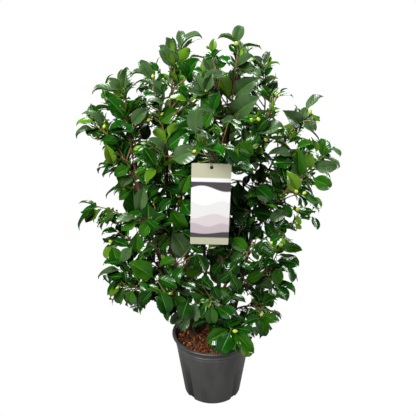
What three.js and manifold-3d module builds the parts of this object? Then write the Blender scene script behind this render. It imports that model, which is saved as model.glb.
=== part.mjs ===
// Camellia shrub, about a metre tall, in the plastic pot that it was grown in.
// Millimetres, +Z up, origin in the middle of the pot's flat underside. The tag hangs on the side facing -Y.
// Five stems stand on the root ball. Boughs leave them and end where they enter a mass of foliage.
// Every mass is a main twig with side twigs, leaves and buds fused on, and keeps to a space of its own.

import * as THREE from 'three';
import { mergeVertices } from 'three/addons/utils/BufferGeometryUtils.js';
import Module from 'manifold-3d';

const wasm = await Module();
wasm.setup();
const { Manifold } = wasm;

// Pot
const POT_HEIGHT = 185;
const RIM_RADIUS = 110;
const BODY_TOP_RADIUS = 104;
const FOOT_RADIUS = 77;
const WALL = 2.2;
const FLOOR = 3;
const LIP_HEIGHT = 5;
const BAND_HEIGHT = 24;
const BAND_STEP = 1.6;
const FOOT_BEVEL = 3;
const POT_SIDES = 30;
const DRAIN_ANGLES = [48, 132, 228, 312];
const DRAIN_WIDTH = 22;
const DRAIN_HEIGHT = 9;
const DRAIN_DEPTH = 9;

// Root ball, with a level top that the stems stand on
const SOIL_TOP = 172;
const SOIL_EDGE = 168;
const SOIL_LEVEL_RADIUS = 78;

// Every piece keeps this far from the piece that carries it. A stem is given a little more on all sides
const SEAT_GAP = 0.3;
const STEM_CLEARANCE = 0.4;
const BOUGH_END_GAP = 0.45;

// Stems: the foot on the root ball, the tip, how far the middle bows out, and the radius above the flare
const STEMS = [
  { name: 'tall', foot: [16, -14], tip: [54, -12, 926], bow: [-12, 4], radius: 7 },
  { name: 'left', foot: [-52, -6], tip: [-88, -14, 906], bow: [-40, -8], radius: 6.2 },
  { name: 'outer_left', foot: [-60, 24], tip: [-204, -16, 850], bow: [-34, 0], radius: 5.8 },
  { name: 'right', foot: [44, 22], tip: [124, 30, 880], bow: [24, 4], radius: 6 },
  { name: 'back', foot: [-12, 52], tip: [-30, 136, 850], bow: [-6, 30], radius: 6 },
];
const STEM_TIP_RADIUS = 2.4;
const STEM_BARE_SHARE = 0.8;
const STEM_SIDES = 6;
const STEM_STEPS = 10;
const FLARE = 4;
const FLARE_HEIGHT = 16;

// Shoots: the stem that each grows from, the height at which it leaves, and where its tip ends.
// A shoot with a bough is bare over its first stretch. The others carry leaves almost from the stem.
const SHOOTS = [
  { name: 'right_arm', stem: 'tall', height: 290, tip: [258, -30, 690], bough: true },
  { name: 'over_rim', stem: 'tall', height: 224, tip: [70, -134, 290], bough: false },
  { name: 'front_low', stem: 'tall', height: 262, tip: [-16, -166, 372], bough: false },
  { name: 'front_left', stem: 'left', height: 330, tip: [-84, -176, 486], bough: false },
  { name: 'front_right', stem: 'tall', height: 390, tip: [92, -176, 512], bough: true },
  { name: 'above_tag', stem: 'tall', height: 556, tip: [-9, -214, 773], bough: true },
  { name: 'inner_front', stem: 'tall', height: 450, tip: [4, -112, 610], bough: false },
  { name: 'inner_right', stem: 'right', height: 440, tip: [104, -96, 642], bough: false },
  { name: 'inner_left', stem: 'left', height: 470, tip: [-52, -52, 664], bough: false },
  { name: 'inner_top', stem: 'tall', height: 610, tip: [66, -76, 742], bough: false },
  { name: 'crown_front', stem: 'tall', height: 720, tip: [2, -86, 890], bough: false },
  { name: 'low_left_front', stem: 'left', height: 250, tip: [-138, -98, 366], bough: false },
  { name: 'left_front', stem: 'left', height: 420, tip: [-158, -164, 596], bough: false },
  { name: 'left_front_top', stem: 'left', height: 580, tip: [-120, -146, 752], bough: false },
  { name: 'crown_left', stem: 'left', height: 700, tip: [-146, 14, 878], bough: false },
  { name: 'low_left', stem: 'outer_left', height: 256, tip: [-222, -60, 348], bough: true },
  { name: 'left_low', stem: 'outer_left', height: 340, tip: [-222, 0, 456], bough: false },
  { name: 'left_middle', stem: 'outer_left', height: 420, tip: [-248, -24, 552], bough: true },
  { name: 'left_top', stem: 'outer_left', height: 590, tip: [-246, -20, 742], bough: true },
  { name: 'low_right', stem: 'right', height: 236, tip: [134, -50, 284], bough: false },
  { name: 'right_low', stem: 'right', height: 290, tip: [172, -50, 404], bough: false },
  { name: 'right_middle', stem: 'right', height: 400, tip: [206, -66, 528], bough: true },
  { name: 'right_top', stem: 'right', height: 560, tip: [214, -16, 790], bough: true },
  { name: 'crown_right', stem: 'right', height: 660, tip: [128, -104, 832], bough: false },
  { name: 'right_back', stem: 'right', height: 430, tip: [226, 112, 600], bough: true },
  { name: 'back_low_right', stem: 'right', height: 260, tip: [132, 120, 336], bough: false },
  { name: 'back_low_left', stem: 'back', height: 260, tip: [-130, 132, 330], bough: false },
  { name: 'back_low', stem: 'back', height: 330, tip: [12, 192, 430], bough: false },
  { name: 'back_left', stem: 'outer_left', height: 480, tip: [-218, 132, 600], bough: true },
  { name: 'back_middle', stem: 'back', height: 450, tip: [-74, 202, 594], bough: false },
  { name: 'back_right', stem: 'back', height: 500, tip: [104, 190, 650], bough: true },
  { name: 'back_top_left', stem: 'outer_left', height: 650, tip: [-164, 112, 776], bough: false },
  { name: 'back_top_right', stem: 'right', height: 680, tip: [154, 124, 796], bough: false },
];
const BOUGH_SHARE = 0.5;
const BOUGH_SIDES = 5;
const BOUGH_STEPS = 4;
const SHOOT_TIP_RADIUS = 1.5;
const SHOOT_BASE_RADIUS = 2.4;
const SHOOT_THICKENING = 0.0055;

// How a shoot arches: the place of its bend as shares of its run, and the extra rise for each mm outwards
const BEND_OUT = 0.42;
const BEND_UP = 0.6;
const BEND_RISE = 0.16;

// Twigs of a mass. The share of the main twig that is bare depends on what carries it. Turns are in radians
const GOLDEN_ANGLE = 2.39996;
const TURN_PER_MASS = 1.3;
const TURN_PER_TWIG = 1.7;
const BARE_ON_STEM_TOP = 0.04;
const BARE_ON_BOUGH = 0.06;
const BARE_ON_STEM = 0.14;
const MASS_MIDDLE = 0.62;
const TWIG_SIDES = 3;
const MAIN_TWIG_STEPS = 4;
const SIDE_TWIG_STEPS = 1;
const SIDE_TWIG_SPACING = 46;
const FEWEST_SIDE_TWIGS = 3;
const FIRST_SIDE_TWIG = 0.1;
const LAST_SIDE_TWIG = 0.8;
const SIDE_TWIG_LENGTH = 72;
const SIDE_TWIG_ALONG = [1.15, 0.75];
const SIDE_TWIG_VARIES = [0.85, 1.15];
const SIDE_TWIG_RADIUS = 1.4;
const SIDE_TWIG_LEAN = [0.8, 1.12];
const SIDE_TWIG_RISE = 0.14;
const TWIG_TIP_RADIUS = 1;

// Leaves and buds. A leaf turns and shrinks a little with each further try, and hangs more the lower it grows
const MAIN_LEAF_SPACING = 24;
const FEWEST_MAIN_LEAVES = 5;
const LEAVES_ON_SIDE_TWIG = 4;
const FIRST_LEAF_ON_SIDE_TWIG = 0.35;
const FIRST_LEAF = 0.06;
const LAST_LEAF = 0.96;
const LEAF_TRIES = 5;
const TRY_TURN = 1.1;
const TRY_SHRINK = 0.05;
const LEAF_LENGTH = 92;
const LEAF_SIZE_ALONG = [1.12, 0.86];
const LEAF_SIZE_VARIES = [0.9, 1.1];
const LEAF_WIDTH_SHARE = 0.64;
const LEAF_THICKNESS = 1.8;
const LEAF_ROOT = 0.3;
const LEAF_NECK = 0.09;
const LEAF_BELLY = 0.42;
const LEAF_TIP_DROP = 0.12;
const LEAF_SPREAD = [1.2, 0.6];
const LEAF_SPREAD_VARIES = 0.35;
const LEAF_HANG = [0.65, 0];
const LEAF_HANG_VARIES = 0.4;
const LEAF_HANG_FOOT = 250;
const LEAF_HANG_REACH = 600;
const LIGHT_FROM_OUTSIDE = 0.7;
const LIGHT_FROM_ABOVE = 0.8;
const LIGHT_VARIES = 0.8;
const BUD_RADIUS = 6;
const BUD_STRETCH = 1.3;

// Clear distances
const FUSE_TOLERANCE = 0.02;
const LEAF_GAP = 0.4;
const SPACE_GAP = 0.8;
const LIMB_GAP = 1.2;
const POT_MARGIN = 4;

// Tag, and the wire loop that it hangs by from the shoot above it
const TAG_WIDTH = 86;
const TAG_HEIGHT = 192;
const TAG_THICKNESS = 0.9;
const TAG_CORNER = 3;
const TAG_HOLE_RADIUS = 4;
const TAG_HOLE_DROP = 9;
const TAG_ROLL = 1.6;
const TAG_VIEW_DEPTH = 120;
const TAG_VIEW_RISE = 0.42;
const TAG_MARGIN = 4;
const HANG_SHARE = 0.9;
const HANG_LENGTH = 35;
const LOOP_WIRE_RADIUS = 0.9;
const LOOP_HALF_WIDTH = 8;
const LOOP_RISE = 2.6;
const LOOP_SLACK = 0.9;
const LOOP_STEPS = 14;
const LOOP_SIDES = 4;

const bark = new THREE.MeshStandardMaterial({ color: 0x6d4030, roughness: 0.8 });
const foliage = new THREE.MeshStandardMaterial({ color: 0x1f5a1c, roughness: 0.35 });
const potPlastic = new THREE.MeshStandardMaterial({ color: 0x3f4040, roughness: 0.5 });
const mulch = new THREE.MeshStandardMaterial({ color: 0x5a2f17, roughness: 0.95 });
const card = new THREE.MeshStandardMaterial({ color: 0xcfc9ae, roughness: 0.4 });
const wire = new THREE.MeshStandardMaterial({ color: 0x2c3a2c, roughness: 0.5 });

const UP = new THREE.Vector3(0, 0, 1);
const BACK = new THREE.Vector3(0, 1, 0);
const NEARLY_UPRIGHT = 0.95;
const shrub = new THREE.Group();

// Solids

function bare(geometry) {
  geometry.deleteAttribute('normal');
  geometry.deleteAttribute('uv');
  return mergeVertices(geometry);
}

function solidOf(geometry) {
  return new Manifold(new wasm.Mesh({
    numProp: 3,
    vertProperties: new Float32Array(geometry.attributes.position.array),
    triVerts: new Uint32Array(geometry.index.array),
  }));
}

function addPiece(name, solid, material) {
  const whole = solid.decompose().sort((a, b) => b.volume() - a.volume())[0];
  const { vertProperties, triVerts } = whole.getMesh();
  const geometry = new THREE.BufferGeometry();
  geometry.setAttribute('position', new THREE.BufferAttribute(new Float32Array(vertProperties), 3));
  geometry.setIndex(new THREE.BufferAttribute(new Uint32Array(triVerts), 1));
  const piece = new THREE.Mesh(geometry, material);
  piece.name = name;
  shrub.add(piece);
}

// A closed tube along a curve, whose radius may change from its start to its end
function tube(curve, radiusAt, sides, steps) {
  const shape = bare(new THREE.CylinderGeometry(1, 1, 1, sides, steps));
  const frames = curve.computeFrenetFrames(steps, false);
  const points = shape.attributes.position;
  for (let i = 0; i < points.count; i += 1) {
    const station = Math.round((points.getY(i) + 0.5) * steps);
    const radius = radiusAt(station / steps);
    const spot = curve.getPointAt(station / steps);
    spot.addScaledVector(frames.normals[station], points.getX(i) * radius);
    spot.addScaledVector(frames.binormals[station], -points.getZ(i) * radius);
    points.setXYZ(i, spot.x, spot.y, spot.z);
  }
  return solidOf(shape);
}

// A point on the straight stretch between two stations of a tube, where the middle of its solid is
function middleOf(curve, steps, share) {
  const station = Math.min(Math.floor(share * steps), steps - 1);
  const from = curve.getPointAt(station / steps);
  return from.lerp(curve.getPointAt((station + 1) / steps), share * steps - station);
}

// The part of a curve between two shares of its length
function stretch(curve, from, to) {
  const count = 6;
  const points = Array.from({ length: count + 1 }, (_, i) => curve.getPointAt(mix(from, to, i / count)));
  return new THREE.CatmullRomCurve3(points);
}

const mix = (a, b, share) => a + (b - a) * share;

// A repeatable draw from 0 to 1
function chance(mass, twig, leaf, draw) {
  const wave = Math.sin(mass * 12.9898 + twig * 78.233 + leaf * 37.719 + draw * 4.581) * 43758.5453;
  return wave - Math.floor(wave);
}

// The two directions square to a twig, the first of them level
function acrossTwig(along) {
  const reference = Math.abs(along.z) < NEARLY_UPRIGHT ? UP : BACK;
  const level = new THREE.Vector3().crossVectors(along, reference).normalize();
  return [level, new THREE.Vector3().crossVectors(level, along)];
}

function roundTwig(along, angle) {
  const [level, other] = acrossTwig(along);
  return level.multiplyScalar(Math.cos(angle)).addScaledVector(other, Math.sin(angle));
}

// Pot and root ball

const bodyRadius = (z) => mix(FOOT_RADIUS, BODY_TOP_RADIUS, z / POT_HEIGHT);

function latheSolid(profile) {
  const shape = new THREE.LatheGeometry(profile.map(([r, z]) => new THREE.Vector2(r, z)), POT_SIDES);
  shape.rotateX(Math.PI / 2);
  return solidOf(bare(shape));
}

function makePot() {
  const bandFoot = POT_HEIGHT - BAND_HEIGHT;
  const lipFoot = POT_HEIGHT - LIP_HEIGHT;
  let pot = latheSolid([
    [0, 0],
    [FOOT_RADIUS - FOOT_BEVEL, 0],
    [bodyRadius(FOOT_BEVEL), FOOT_BEVEL],
    [bodyRadius(bandFoot) - BAND_STEP, bandFoot - BAND_STEP],
    [bodyRadius(bandFoot), bandFoot],
    [bodyRadius(lipFoot), lipFoot],
    [RIM_RADIUS, lipFoot + 1],
    [RIM_RADIUS, POT_HEIGHT - 1],
    [RIM_RADIUS - 1, POT_HEIGHT],
    [bodyRadius(POT_HEIGHT) - WALL, POT_HEIGHT],
    [bodyRadius(bandFoot) - BAND_STEP - WALL, bandFoot],
    [bodyRadius(FLOOR) - WALL, FLOOR],
    [0, FLOOR],
  ]);
  for (const angle of DRAIN_ANGLES) {
    const notch = new THREE.BoxGeometry(DRAIN_WIDTH, DRAIN_DEPTH * 2, DRAIN_HEIGHT * 2);
    notch.translate(0, -FOOT_RADIUS, 0);
    notch.rotateZ(THREE.MathUtils.degToRad(angle));
    pot = pot.subtract(solidOf(bare(notch)));
  }
  return pot;
}

function makeRootBall() {
  const bandFoot = POT_HEIGHT - BAND_HEIGHT;
  const inside = (z) => bodyRadius(z) - WALL - SEAT_GAP;
  return latheSolid([
    [0, FLOOR + SEAT_GAP],
    [inside(FLOOR), FLOOR + SEAT_GAP],
    [inside(bandFoot) - BAND_STEP, bandFoot],
    [inside(bandFoot) - BAND_STEP, SOIL_EDGE],
    [SOIL_LEVEL_RADIUS, SOIL_TOP],
    [0, SOIL_TOP],
  ]);
}

// Limbs

function bowedCurve(foot, tip, bow) {
  const start = new THREE.Vector3(foot[0], foot[1], SOIL_TOP);
  const end = new THREE.Vector3(...tip);
  const bend = start.clone().lerp(end, 0.5).add(new THREE.Vector3(bow[0] * 2, bow[1] * 2, 0));
  return new THREE.QuadraticBezierCurve3(start, bend, end);
}

function makeStem(plan) {
  const curve = bowedCurve(plan.foot, plan.tip, plan.bow);
  const bareCurve = stretch(curve, 0, STEM_BARE_SHARE);
  const length = bareCurve.getLength();
  const radiusAt = (share) => mix(plan.radius, STEM_TIP_RADIUS, share)
    + FLARE * Math.exp(-share * length / FLARE_HEIGHT);
  const grown = (extra) => tube(bareCurve, (share) => radiusAt(share) + extra, STEM_SIDES, STEM_STEPS);
  const cut = (solid) => solid.trimByPlane([0, 0, 1], SOIL_TOP + SEAT_GAP);
  return {
    name: plan.name,
    curve,
    solid: cut(grown(0)),
    keepOff: grown(STEM_CLEARANCE),
    twig: stretch(curve, STEM_BARE_SHARE + SEAT_GAP / curve.getLength(), 1),
    twigRadius: STEM_TIP_RADIUS,
  };
}

// A shoot rises first and then arches out to its tip
function shootCurve(start, tip) {
  const run = tip.clone().sub(start);
  const level = Math.hypot(run.x, run.y);
  const toBend = new THREE.Vector3(run.x * BEND_OUT, run.y * BEND_OUT, run.z * BEND_UP + level * BEND_RISE);
  const bend = start.clone().add(toBend);
  return new THREE.QuadraticBezierCurve3(start, bend, tip);
}

function makeShoot(plan, stem) {
  const start = stem.curve.getPoint((plan.height - SOIL_TOP) / (stem.curve.v2.z - SOIL_TOP));
  const curve = shootCurve(start, new THREE.Vector3(...plan.tip));
  const length = curve.getLength();
  const baseRadius = SHOOT_BASE_RADIUS + SHOOT_THICKENING * length;
  const shoot = { name: plan.name, curve };
  if (!plan.bough) {
    const cutClearOf = stem.keepOff;
    return { ...shoot, cutClearOf, twig: curve, twigRadius: baseRadius, bareShare: BARE_ON_STEM };
  }
  const radiusAt = (share) => mix(baseRadius, SHOOT_TIP_RADIUS, Math.sqrt(share * BOUGH_SHARE));
  const limb = tube(stretch(curve, 0, BOUGH_SHARE), radiusAt, BOUGH_SIDES, BOUGH_STEPS);
  return {
    ...shoot,
    bough: limb.subtract(stem.keepOff).simplify(FUSE_TOLERANCE),
    twig: stretch(curve, BOUGH_SHARE + BOUGH_END_GAP / length, 1),
    twigRadius: radiusAt(1),
    bareShare: BARE_ON_BOUGH,
  };
}

const stems = STEMS.map(makeStem);
const shoots = SHOOTS.map((plan) => makeShoot(plan, stems.find((stem) => stem.name === plan.stem)));

// Masses of foliage. Each has the space that is nearer to its own middle than to any other

const masses = [
  ...stems.map((stem) => ({ ...stem, name: `crown_${stem.name}_stem`, bareShare: BARE_ON_STEM_TOP })),
  ...shoots,
].map((limb, index) => ({
  ...limb,
  index,
  middle: limb.twig.getPointAt(MASS_MIDDLE),
  axis: tube(limb.twig, (share) => mix(limb.twigRadius, TWIG_TIP_RADIUS, share), TWIG_SIDES, MAIN_TWIG_STEPS),
}));

function inOwnSpace(mass, point) {
  return masses.every((other) => {
    if (other === mass) return true;
    const lead = point.distanceToSquared(other.middle) - point.distanceToSquared(mass.middle);
    return lead / (2 * other.middle.distanceTo(mass.middle)) > SPACE_GAP;
  });
}

function vertices(solid) {
  const { vertProperties, numProp } = solid.getMesh();
  const count = vertProperties.length / numProp;
  return Array.from({ length: count }, (_, i) => new THREE.Vector3().fromArray(vertProperties, i * numProp));
}

// Tag and the loop that it hangs by

const hang = shoots.find((shoot) => shoot.name === 'above_tag').curve.getPointAt(HANG_SHARE);
const tagHole = hang.clone().add(new THREE.Vector3(0, 0, -HANG_LENGTH));

function makeTag() {
  const [half, top] = [TAG_WIDTH / 2, TAG_HOLE_DROP];
  const foot = top - TAG_HEIGHT;
  const outline = new THREE.Shape();
  outline.moveTo(-half + TAG_CORNER, top);
  outline.absarc(half - TAG_CORNER, top - TAG_CORNER, TAG_CORNER, Math.PI / 2, 0, true);
  outline.absarc(half - TAG_CORNER, foot + TAG_CORNER, TAG_CORNER, 0, -Math.PI / 2, true);
  outline.absarc(-half + TAG_CORNER, foot + TAG_CORNER, TAG_CORNER, -Math.PI / 2, -Math.PI, true);
  outline.absarc(-half + TAG_CORNER, top - TAG_CORNER, TAG_CORNER, Math.PI, Math.PI / 2, true);
  outline.holes.push(new THREE.Path().absarc(0, 0, TAG_HOLE_RADIUS, 0, Math.PI * 2));
  const depth = TAG_THICKNESS;
  const shape = new THREE.ExtrudeGeometry(outline, { depth, bevelEnabled: false, curveSegments: 4 });
  shape.translate(0, 0, -TAG_THICKNESS / 2);
  shape.rotateX(Math.PI / 2);
  shape.rotateY(THREE.MathUtils.degToRad(TAG_ROLL));
  shape.translate(tagHole.x, tagHole.y, tagHole.z);
  return solidOf(bare(shape));
}

// The wire runs front to back through the hole, and turns to run across the twig at the top
function makeLoop() {
  const low = TAG_HOLE_RADIUS - LOOP_WIRE_RADIUS - LOOP_SLACK;
  const high = HANG_LENGTH + LOOP_RISE;
  const points = Array.from({ length: LOOP_STEPS }, (_, i) => {
    const t = i / LOOP_STEPS * Math.PI * 2;
    const heading = Math.PI / 2 * (1 + Math.cos(t)) / 2;
    const out = LOOP_HALF_WIDTH * Math.sin(t);
    const z = mix(low, high, (1 - Math.cos(t)) / 2);
    return tagHole.clone().add(new THREE.Vector3(out * Math.cos(heading), out * Math.sin(heading), z));
  });
  const course = new THREE.CatmullRomCurve3(points, true);
  return solidOf(bare(new THREE.TubeGeometry(course, LOOP_STEPS, LOOP_WIRE_RADIUS, LOOP_SIDES, true)));
}

// The space of the tag and of the view of it from in front and a little above
function makeTagView() {
  const wide = TAG_WIDTH + TAG_MARGIN * 2;
  const shape = bare(new THREE.BoxGeometry(wide, TAG_VIEW_DEPTH, TAG_HEIGHT + TAG_MARGIN * 2));
  shape.translate(tagHole.x, TAG_MARGIN - TAG_VIEW_DEPTH / 2, tagHole.z + TAG_HOLE_DROP - TAG_HEIGHT / 2);
  const points = shape.attributes.position;
  for (let i = 0; i < points.count; i += 1) {
    points.setZ(i, points.getZ(i) - TAG_VIEW_RISE * points.getY(i));
  }
  shape.translate(0, tagHole.y, 0);
  return solidOf(shape);
}

const tag = makeTag();
const tagLoop = makeLoop();

function makePotSpace() {
  const [radius, height] = [RIM_RADIUS + POT_MARGIN, POT_HEIGHT + POT_MARGIN];
  const shape = new THREE.CylinderGeometry(radius, radius, height, POT_SIDES);
  return solidOf(bare(shape.rotateX(Math.PI / 2).translate(0, 0, height / 2)));
}

// What no leaf or twig may touch: the limbs of others, the pot with the air close over it, and the tag
const obstacles = [
  { solid: makePotSpace() },
  { solid: makeTagView() },
  { solid: tag },
  { solid: tagLoop },
  ...stems.map((stem) => ({ solid: stem.solid })),
  ...shoots.filter((shoot) => shoot.bough).map((shoot) => ({ solid: shoot.bough })),
  ...masses.map((mass) => ({ solid: mass.axis, mass })),
];

function boxesMeet(a, b, gap) {
  const [one, two] = [a.boundingBox(), b.boundingBox()];
  return [0, 1, 2].every((i) => one.min[i] - gap < two.max[i] && two.min[i] - gap < one.max[i]);
}

function isClear(mass, solid) {
  return obstacles.every((obstacle) => obstacle.mass === mass
    || !boxesMeet(solid, obstacle.solid, LIMB_GAP)
    || solid.minGap(obstacle.solid, LIMB_GAP * 2) > LIMB_GAP);
}

// A leaf is a flattened octahedron, with its root sunk in the twig, its rib thickest just past the twig,
// its blade widest further out, and its tip bent down
function leafSolid(root, along, face, length) {
  const shape = bare(new THREE.OctahedronGeometry(1));
  const side = new THREE.Vector3().crossVectors(face, along);
  const points = shape.attributes.position;
  for (let i = 0; i < points.count; i += 1) {
    const [x, y, z] = [points.getX(i), points.getY(i), points.getZ(i)];
    const middleShare = y === 0 ? LEAF_NECK : LEAF_BELLY;
    const forward = x === 0 ? middleShare * length : mix(-LEAF_ROOT, length, (x + 1) / 2);
    const lift = z * LEAF_THICKNESS / 2 - (x > 0 ? LEAF_TIP_DROP * length : 0);
    const spot = root.clone().addScaledVector(along, forward);
    spot.addScaledVector(side, y * length * LEAF_WIDTH_SHARE / 2).addScaledVector(face, lift);
    points.setXYZ(i, spot.x, spot.y, spot.z);
  }
  return solidOf(shape);
}

// Leaves spread round their twig. The low ones hang, and every face turns up and out to the light.
// Where a leaf has no room, the next try turns it further round the twig and makes it a little smaller.
function leafTry(twigCurve, steps, share, turn, mass, twig, leaf, attempt) {
  const draw = (n) => chance(mass, twig, leaf, n + attempt * 9);
  const root = middleOf(twigCurve, steps, share);
  const twigAlong = twigCurve.getTangentAt(share);
  const spread = mix(...LEAF_SPREAD, share) + LEAF_SPREAD_VARIES * (draw(0) - 0.5);
  const along = twigAlong.clone().multiplyScalar(Math.cos(spread))
    .addScaledVector(roundTwig(twigAlong, turn + attempt * TRY_TURN), Math.sin(spread));
  const highness = THREE.MathUtils.clamp((root.z - LEAF_HANG_FOOT) / LEAF_HANG_REACH, 0, 1);
  along.z -= mix(...LEAF_HANG, highness) + LEAF_HANG_VARIES * (draw(2) - 0.5);
  along.normalize();
  const light = new THREE.Vector3(root.x, root.y, 0).normalize().multiplyScalar(LIGHT_FROM_OUTSIDE);
  light.z = LIGHT_FROM_ABOVE;
  light.x += LIGHT_VARIES * (draw(3) - 0.5);
  light.y += LIGHT_VARIES * (draw(4) - 0.5);
  const face = light.addScaledVector(along, -light.dot(along)).normalize();
  const size = mix(...LEAF_SIZE_ALONG, share) * mix(...LEAF_SIZE_VARIES, draw(1));
  return leafSolid(root, along, face, LEAF_LENGTH * size * (1 - TRY_SHRINK * attempt));
}

function sideTwig(main, share, mass, twig) {
  const root = middleOf(main, MAIN_TWIG_STEPS, share);
  const along = main.getTangentAt(share);
  const turn = twig * GOLDEN_ANGLE + mass * TURN_PER_MASS + chance(mass, twig, 0, 5);
  const lean = mix(...SIDE_TWIG_LEAN, chance(mass, twig, 0, 6));
  const away = roundTwig(along, turn).multiplyScalar(Math.sin(lean)).addScaledVector(along, Math.cos(lean));
  const size = mix(...SIDE_TWIG_ALONG, share) * mix(...SIDE_TWIG_VARIES, chance(mass, twig, 0, 7));
  const length = SIDE_TWIG_LENGTH * size;
  const end = root.clone().addScaledVector(away, length);
  end.z += length * SIDE_TWIG_RISE;
  return new THREE.LineCurve3(root, end);
}

function budSolid(place) {
  const shape = new THREE.OctahedronGeometry(BUD_RADIUS).scale(1, 1, BUD_STRETCH);
  return solidOf(bare(shape.translate(place.x, place.y, place.z)));
}

function makeMass(mass) {
  const pieces = [mass.cutClearOf ? mass.axis.subtract(mass.cutClearOf) : mass.axis];
  const leaves = [];
  const fits = (solid) => vertices(solid).every((point) => inOwnSpace(mass, point)) && isClear(mass, solid);
  const crosses = (leaf) => leaves.some((other) => boxesMeet(leaf, other, LEAF_GAP)
    && leaf.minGap(other, LEAF_GAP * 2) < LEAF_GAP);
  const growLeaves = (curve, steps, count, first, twig) => {
    for (let leaf = 0; leaf < count; leaf += 1) {
      const share = mix(first, LAST_LEAF, leaf / (count - 1));
      const turn = leaf * GOLDEN_ANGLE + twig * TURN_PER_TWIG + mass.index;
      for (let attempt = 0; attempt < LEAF_TRIES; attempt += 1) {
        const solid = leafTry(curve, steps, share, turn, mass.index, twig, leaf, attempt);
        if (fits(solid) && !crosses(solid)) {
          leaves.push(solid);
          break;
        }
      }
    }
  };
  const leafyLength = mass.twig.getLength() * (1 - mass.bareShare);
  const twigCount = Math.max(FEWEST_SIDE_TWIGS, Math.round(leafyLength / SIDE_TWIG_SPACING));
  for (let twig = 1; twig <= twigCount; twig += 1) {
    const share = mix(mass.bareShare + FIRST_SIDE_TWIG, LAST_SIDE_TWIG, (twig - 1) / (twigCount - 1));
    const curve = sideTwig(mass.twig, share, mass.index, twig);
    const radiusAt = (part) => mix(SIDE_TWIG_RADIUS, TWIG_TIP_RADIUS, part);
    const wood = tube(curve, radiusAt, TWIG_SIDES, SIDE_TWIG_STEPS);
    if (fits(wood)) {
      pieces.push(wood);
      growLeaves(curve, SIDE_TWIG_STEPS, LEAVES_ON_SIDE_TWIG, FIRST_LEAF_ON_SIDE_TWIG, twig);
    }
  }
  const bud = budSolid(mass.twig.getPointAt(1));
  if (fits(bud) && !crosses(bud)) pieces.push(bud);
  const mainLeaves = Math.max(FEWEST_MAIN_LEAVES, Math.round(leafyLength / MAIN_LEAF_SPACING));
  growLeaves(mass.twig, MAIN_TWIG_STEPS, mainLeaves, mass.bareShare + FIRST_LEAF, 0);
  return Manifold.union([...pieces, ...leaves]).simplify(FUSE_TOLERANCE);
}

addPiece('pot', makePot(), potPlastic);
addPiece('root_ball', makeRootBall(), mulch);
for (const stem of stems) addPiece(`stem_${stem.name}`, stem.solid, bark);
for (const shoot of shoots.filter((one) => one.bough)) addPiece(`bough_${shoot.name}`, shoot.bough, bark);
for (const mass of masses) addPiece(`foliage_${mass.name}`, makeMass(mass), foliage);
addPiece('tag', tag, card);
addPiece('tag_loop', tagLoop, wire);

export default shrub;
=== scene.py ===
# A camellia shrub, about a metre tall, in the plastic pot that it was grown in.
# Places are worked out in millimetres, and a mesh is turned into metres when it is made.
import math

import bmesh
import bpy
import numpy as np
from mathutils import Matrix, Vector, noise
from mathutils.bvhtree import BVHTree


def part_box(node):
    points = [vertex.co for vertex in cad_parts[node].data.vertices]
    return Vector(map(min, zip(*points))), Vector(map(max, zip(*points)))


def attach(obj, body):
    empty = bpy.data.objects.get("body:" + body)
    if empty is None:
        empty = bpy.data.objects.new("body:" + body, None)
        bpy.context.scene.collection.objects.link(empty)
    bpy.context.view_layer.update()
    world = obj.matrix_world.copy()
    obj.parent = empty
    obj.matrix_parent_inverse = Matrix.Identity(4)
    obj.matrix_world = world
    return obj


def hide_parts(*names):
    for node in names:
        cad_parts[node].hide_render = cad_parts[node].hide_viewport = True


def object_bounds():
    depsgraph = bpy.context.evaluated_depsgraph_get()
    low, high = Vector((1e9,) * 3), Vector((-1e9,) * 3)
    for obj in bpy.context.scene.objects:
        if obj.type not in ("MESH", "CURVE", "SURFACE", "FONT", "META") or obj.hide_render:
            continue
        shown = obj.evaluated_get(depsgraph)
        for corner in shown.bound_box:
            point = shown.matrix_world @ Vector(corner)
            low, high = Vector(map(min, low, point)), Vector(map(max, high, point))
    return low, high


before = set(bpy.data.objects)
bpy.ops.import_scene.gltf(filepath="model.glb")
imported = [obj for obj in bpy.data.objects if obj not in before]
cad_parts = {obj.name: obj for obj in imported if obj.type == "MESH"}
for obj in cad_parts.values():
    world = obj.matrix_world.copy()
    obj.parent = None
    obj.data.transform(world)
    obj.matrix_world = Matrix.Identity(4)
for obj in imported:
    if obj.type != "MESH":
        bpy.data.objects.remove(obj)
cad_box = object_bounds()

MM = 0.001


# Camera
# The shrub is seen from in front of its pot, a metre and a half away and a little above the crown.
# The lens takes in the whole plant with a narrow margin.
VIEW_PLACE = Vector((-12.4, -1504, 1189)) * MM
VIEW_DOWN = 23.0
VIEW_LENS = 56.25
VIEW_SENSOR = 36.0
FARTHEST_SIGHT = 100


def in_scene(name, data):
    """An object in the scene, with its mesh or other data."""
    thing = bpy.data.objects.new(name, data)
    bpy.context.scene.collection.objects.link(thing)
    return thing


camera_data = bpy.data.cameras.new("camera")
camera_data.lens = VIEW_LENS
camera_data.sensor_width = VIEW_SENSOR
camera_data.clip_end = FARTHEST_SIGHT
camera = in_scene("camera", camera_data)
camera.location = VIEW_PLACE
camera.rotation_euler = (math.radians(90 - VIEW_DOWN), 0, 0)
bpy.context.scene.camera = camera

# Some places on the shrub are told by where they are seen, across and down a picture 416 wide, and their y
PICTURE = 416
SIGHT_SCALE = VIEW_LENS / VIEW_SENSOR * PICTURE
EYE = VIEW_PLACE / MM
FORWARD = Vector((0, math.cos(math.radians(VIEW_DOWN)), -math.sin(math.radians(VIEW_DOWN))))
SKYWARD = Vector((0, math.sin(math.radians(VIEW_DOWN)), math.cos(math.radians(VIEW_DOWN))))


def seen_at(point):
    """Where a point is seen, across and down the picture."""
    sight = point - EYE
    depth = sight.dot(FORWARD)
    return PICTURE / 2 + SIGHT_SCALE * sight.x / depth, PICTURE / 2 - SIGHT_SCALE * sight.dot(SKYWARD) / depth


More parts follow.
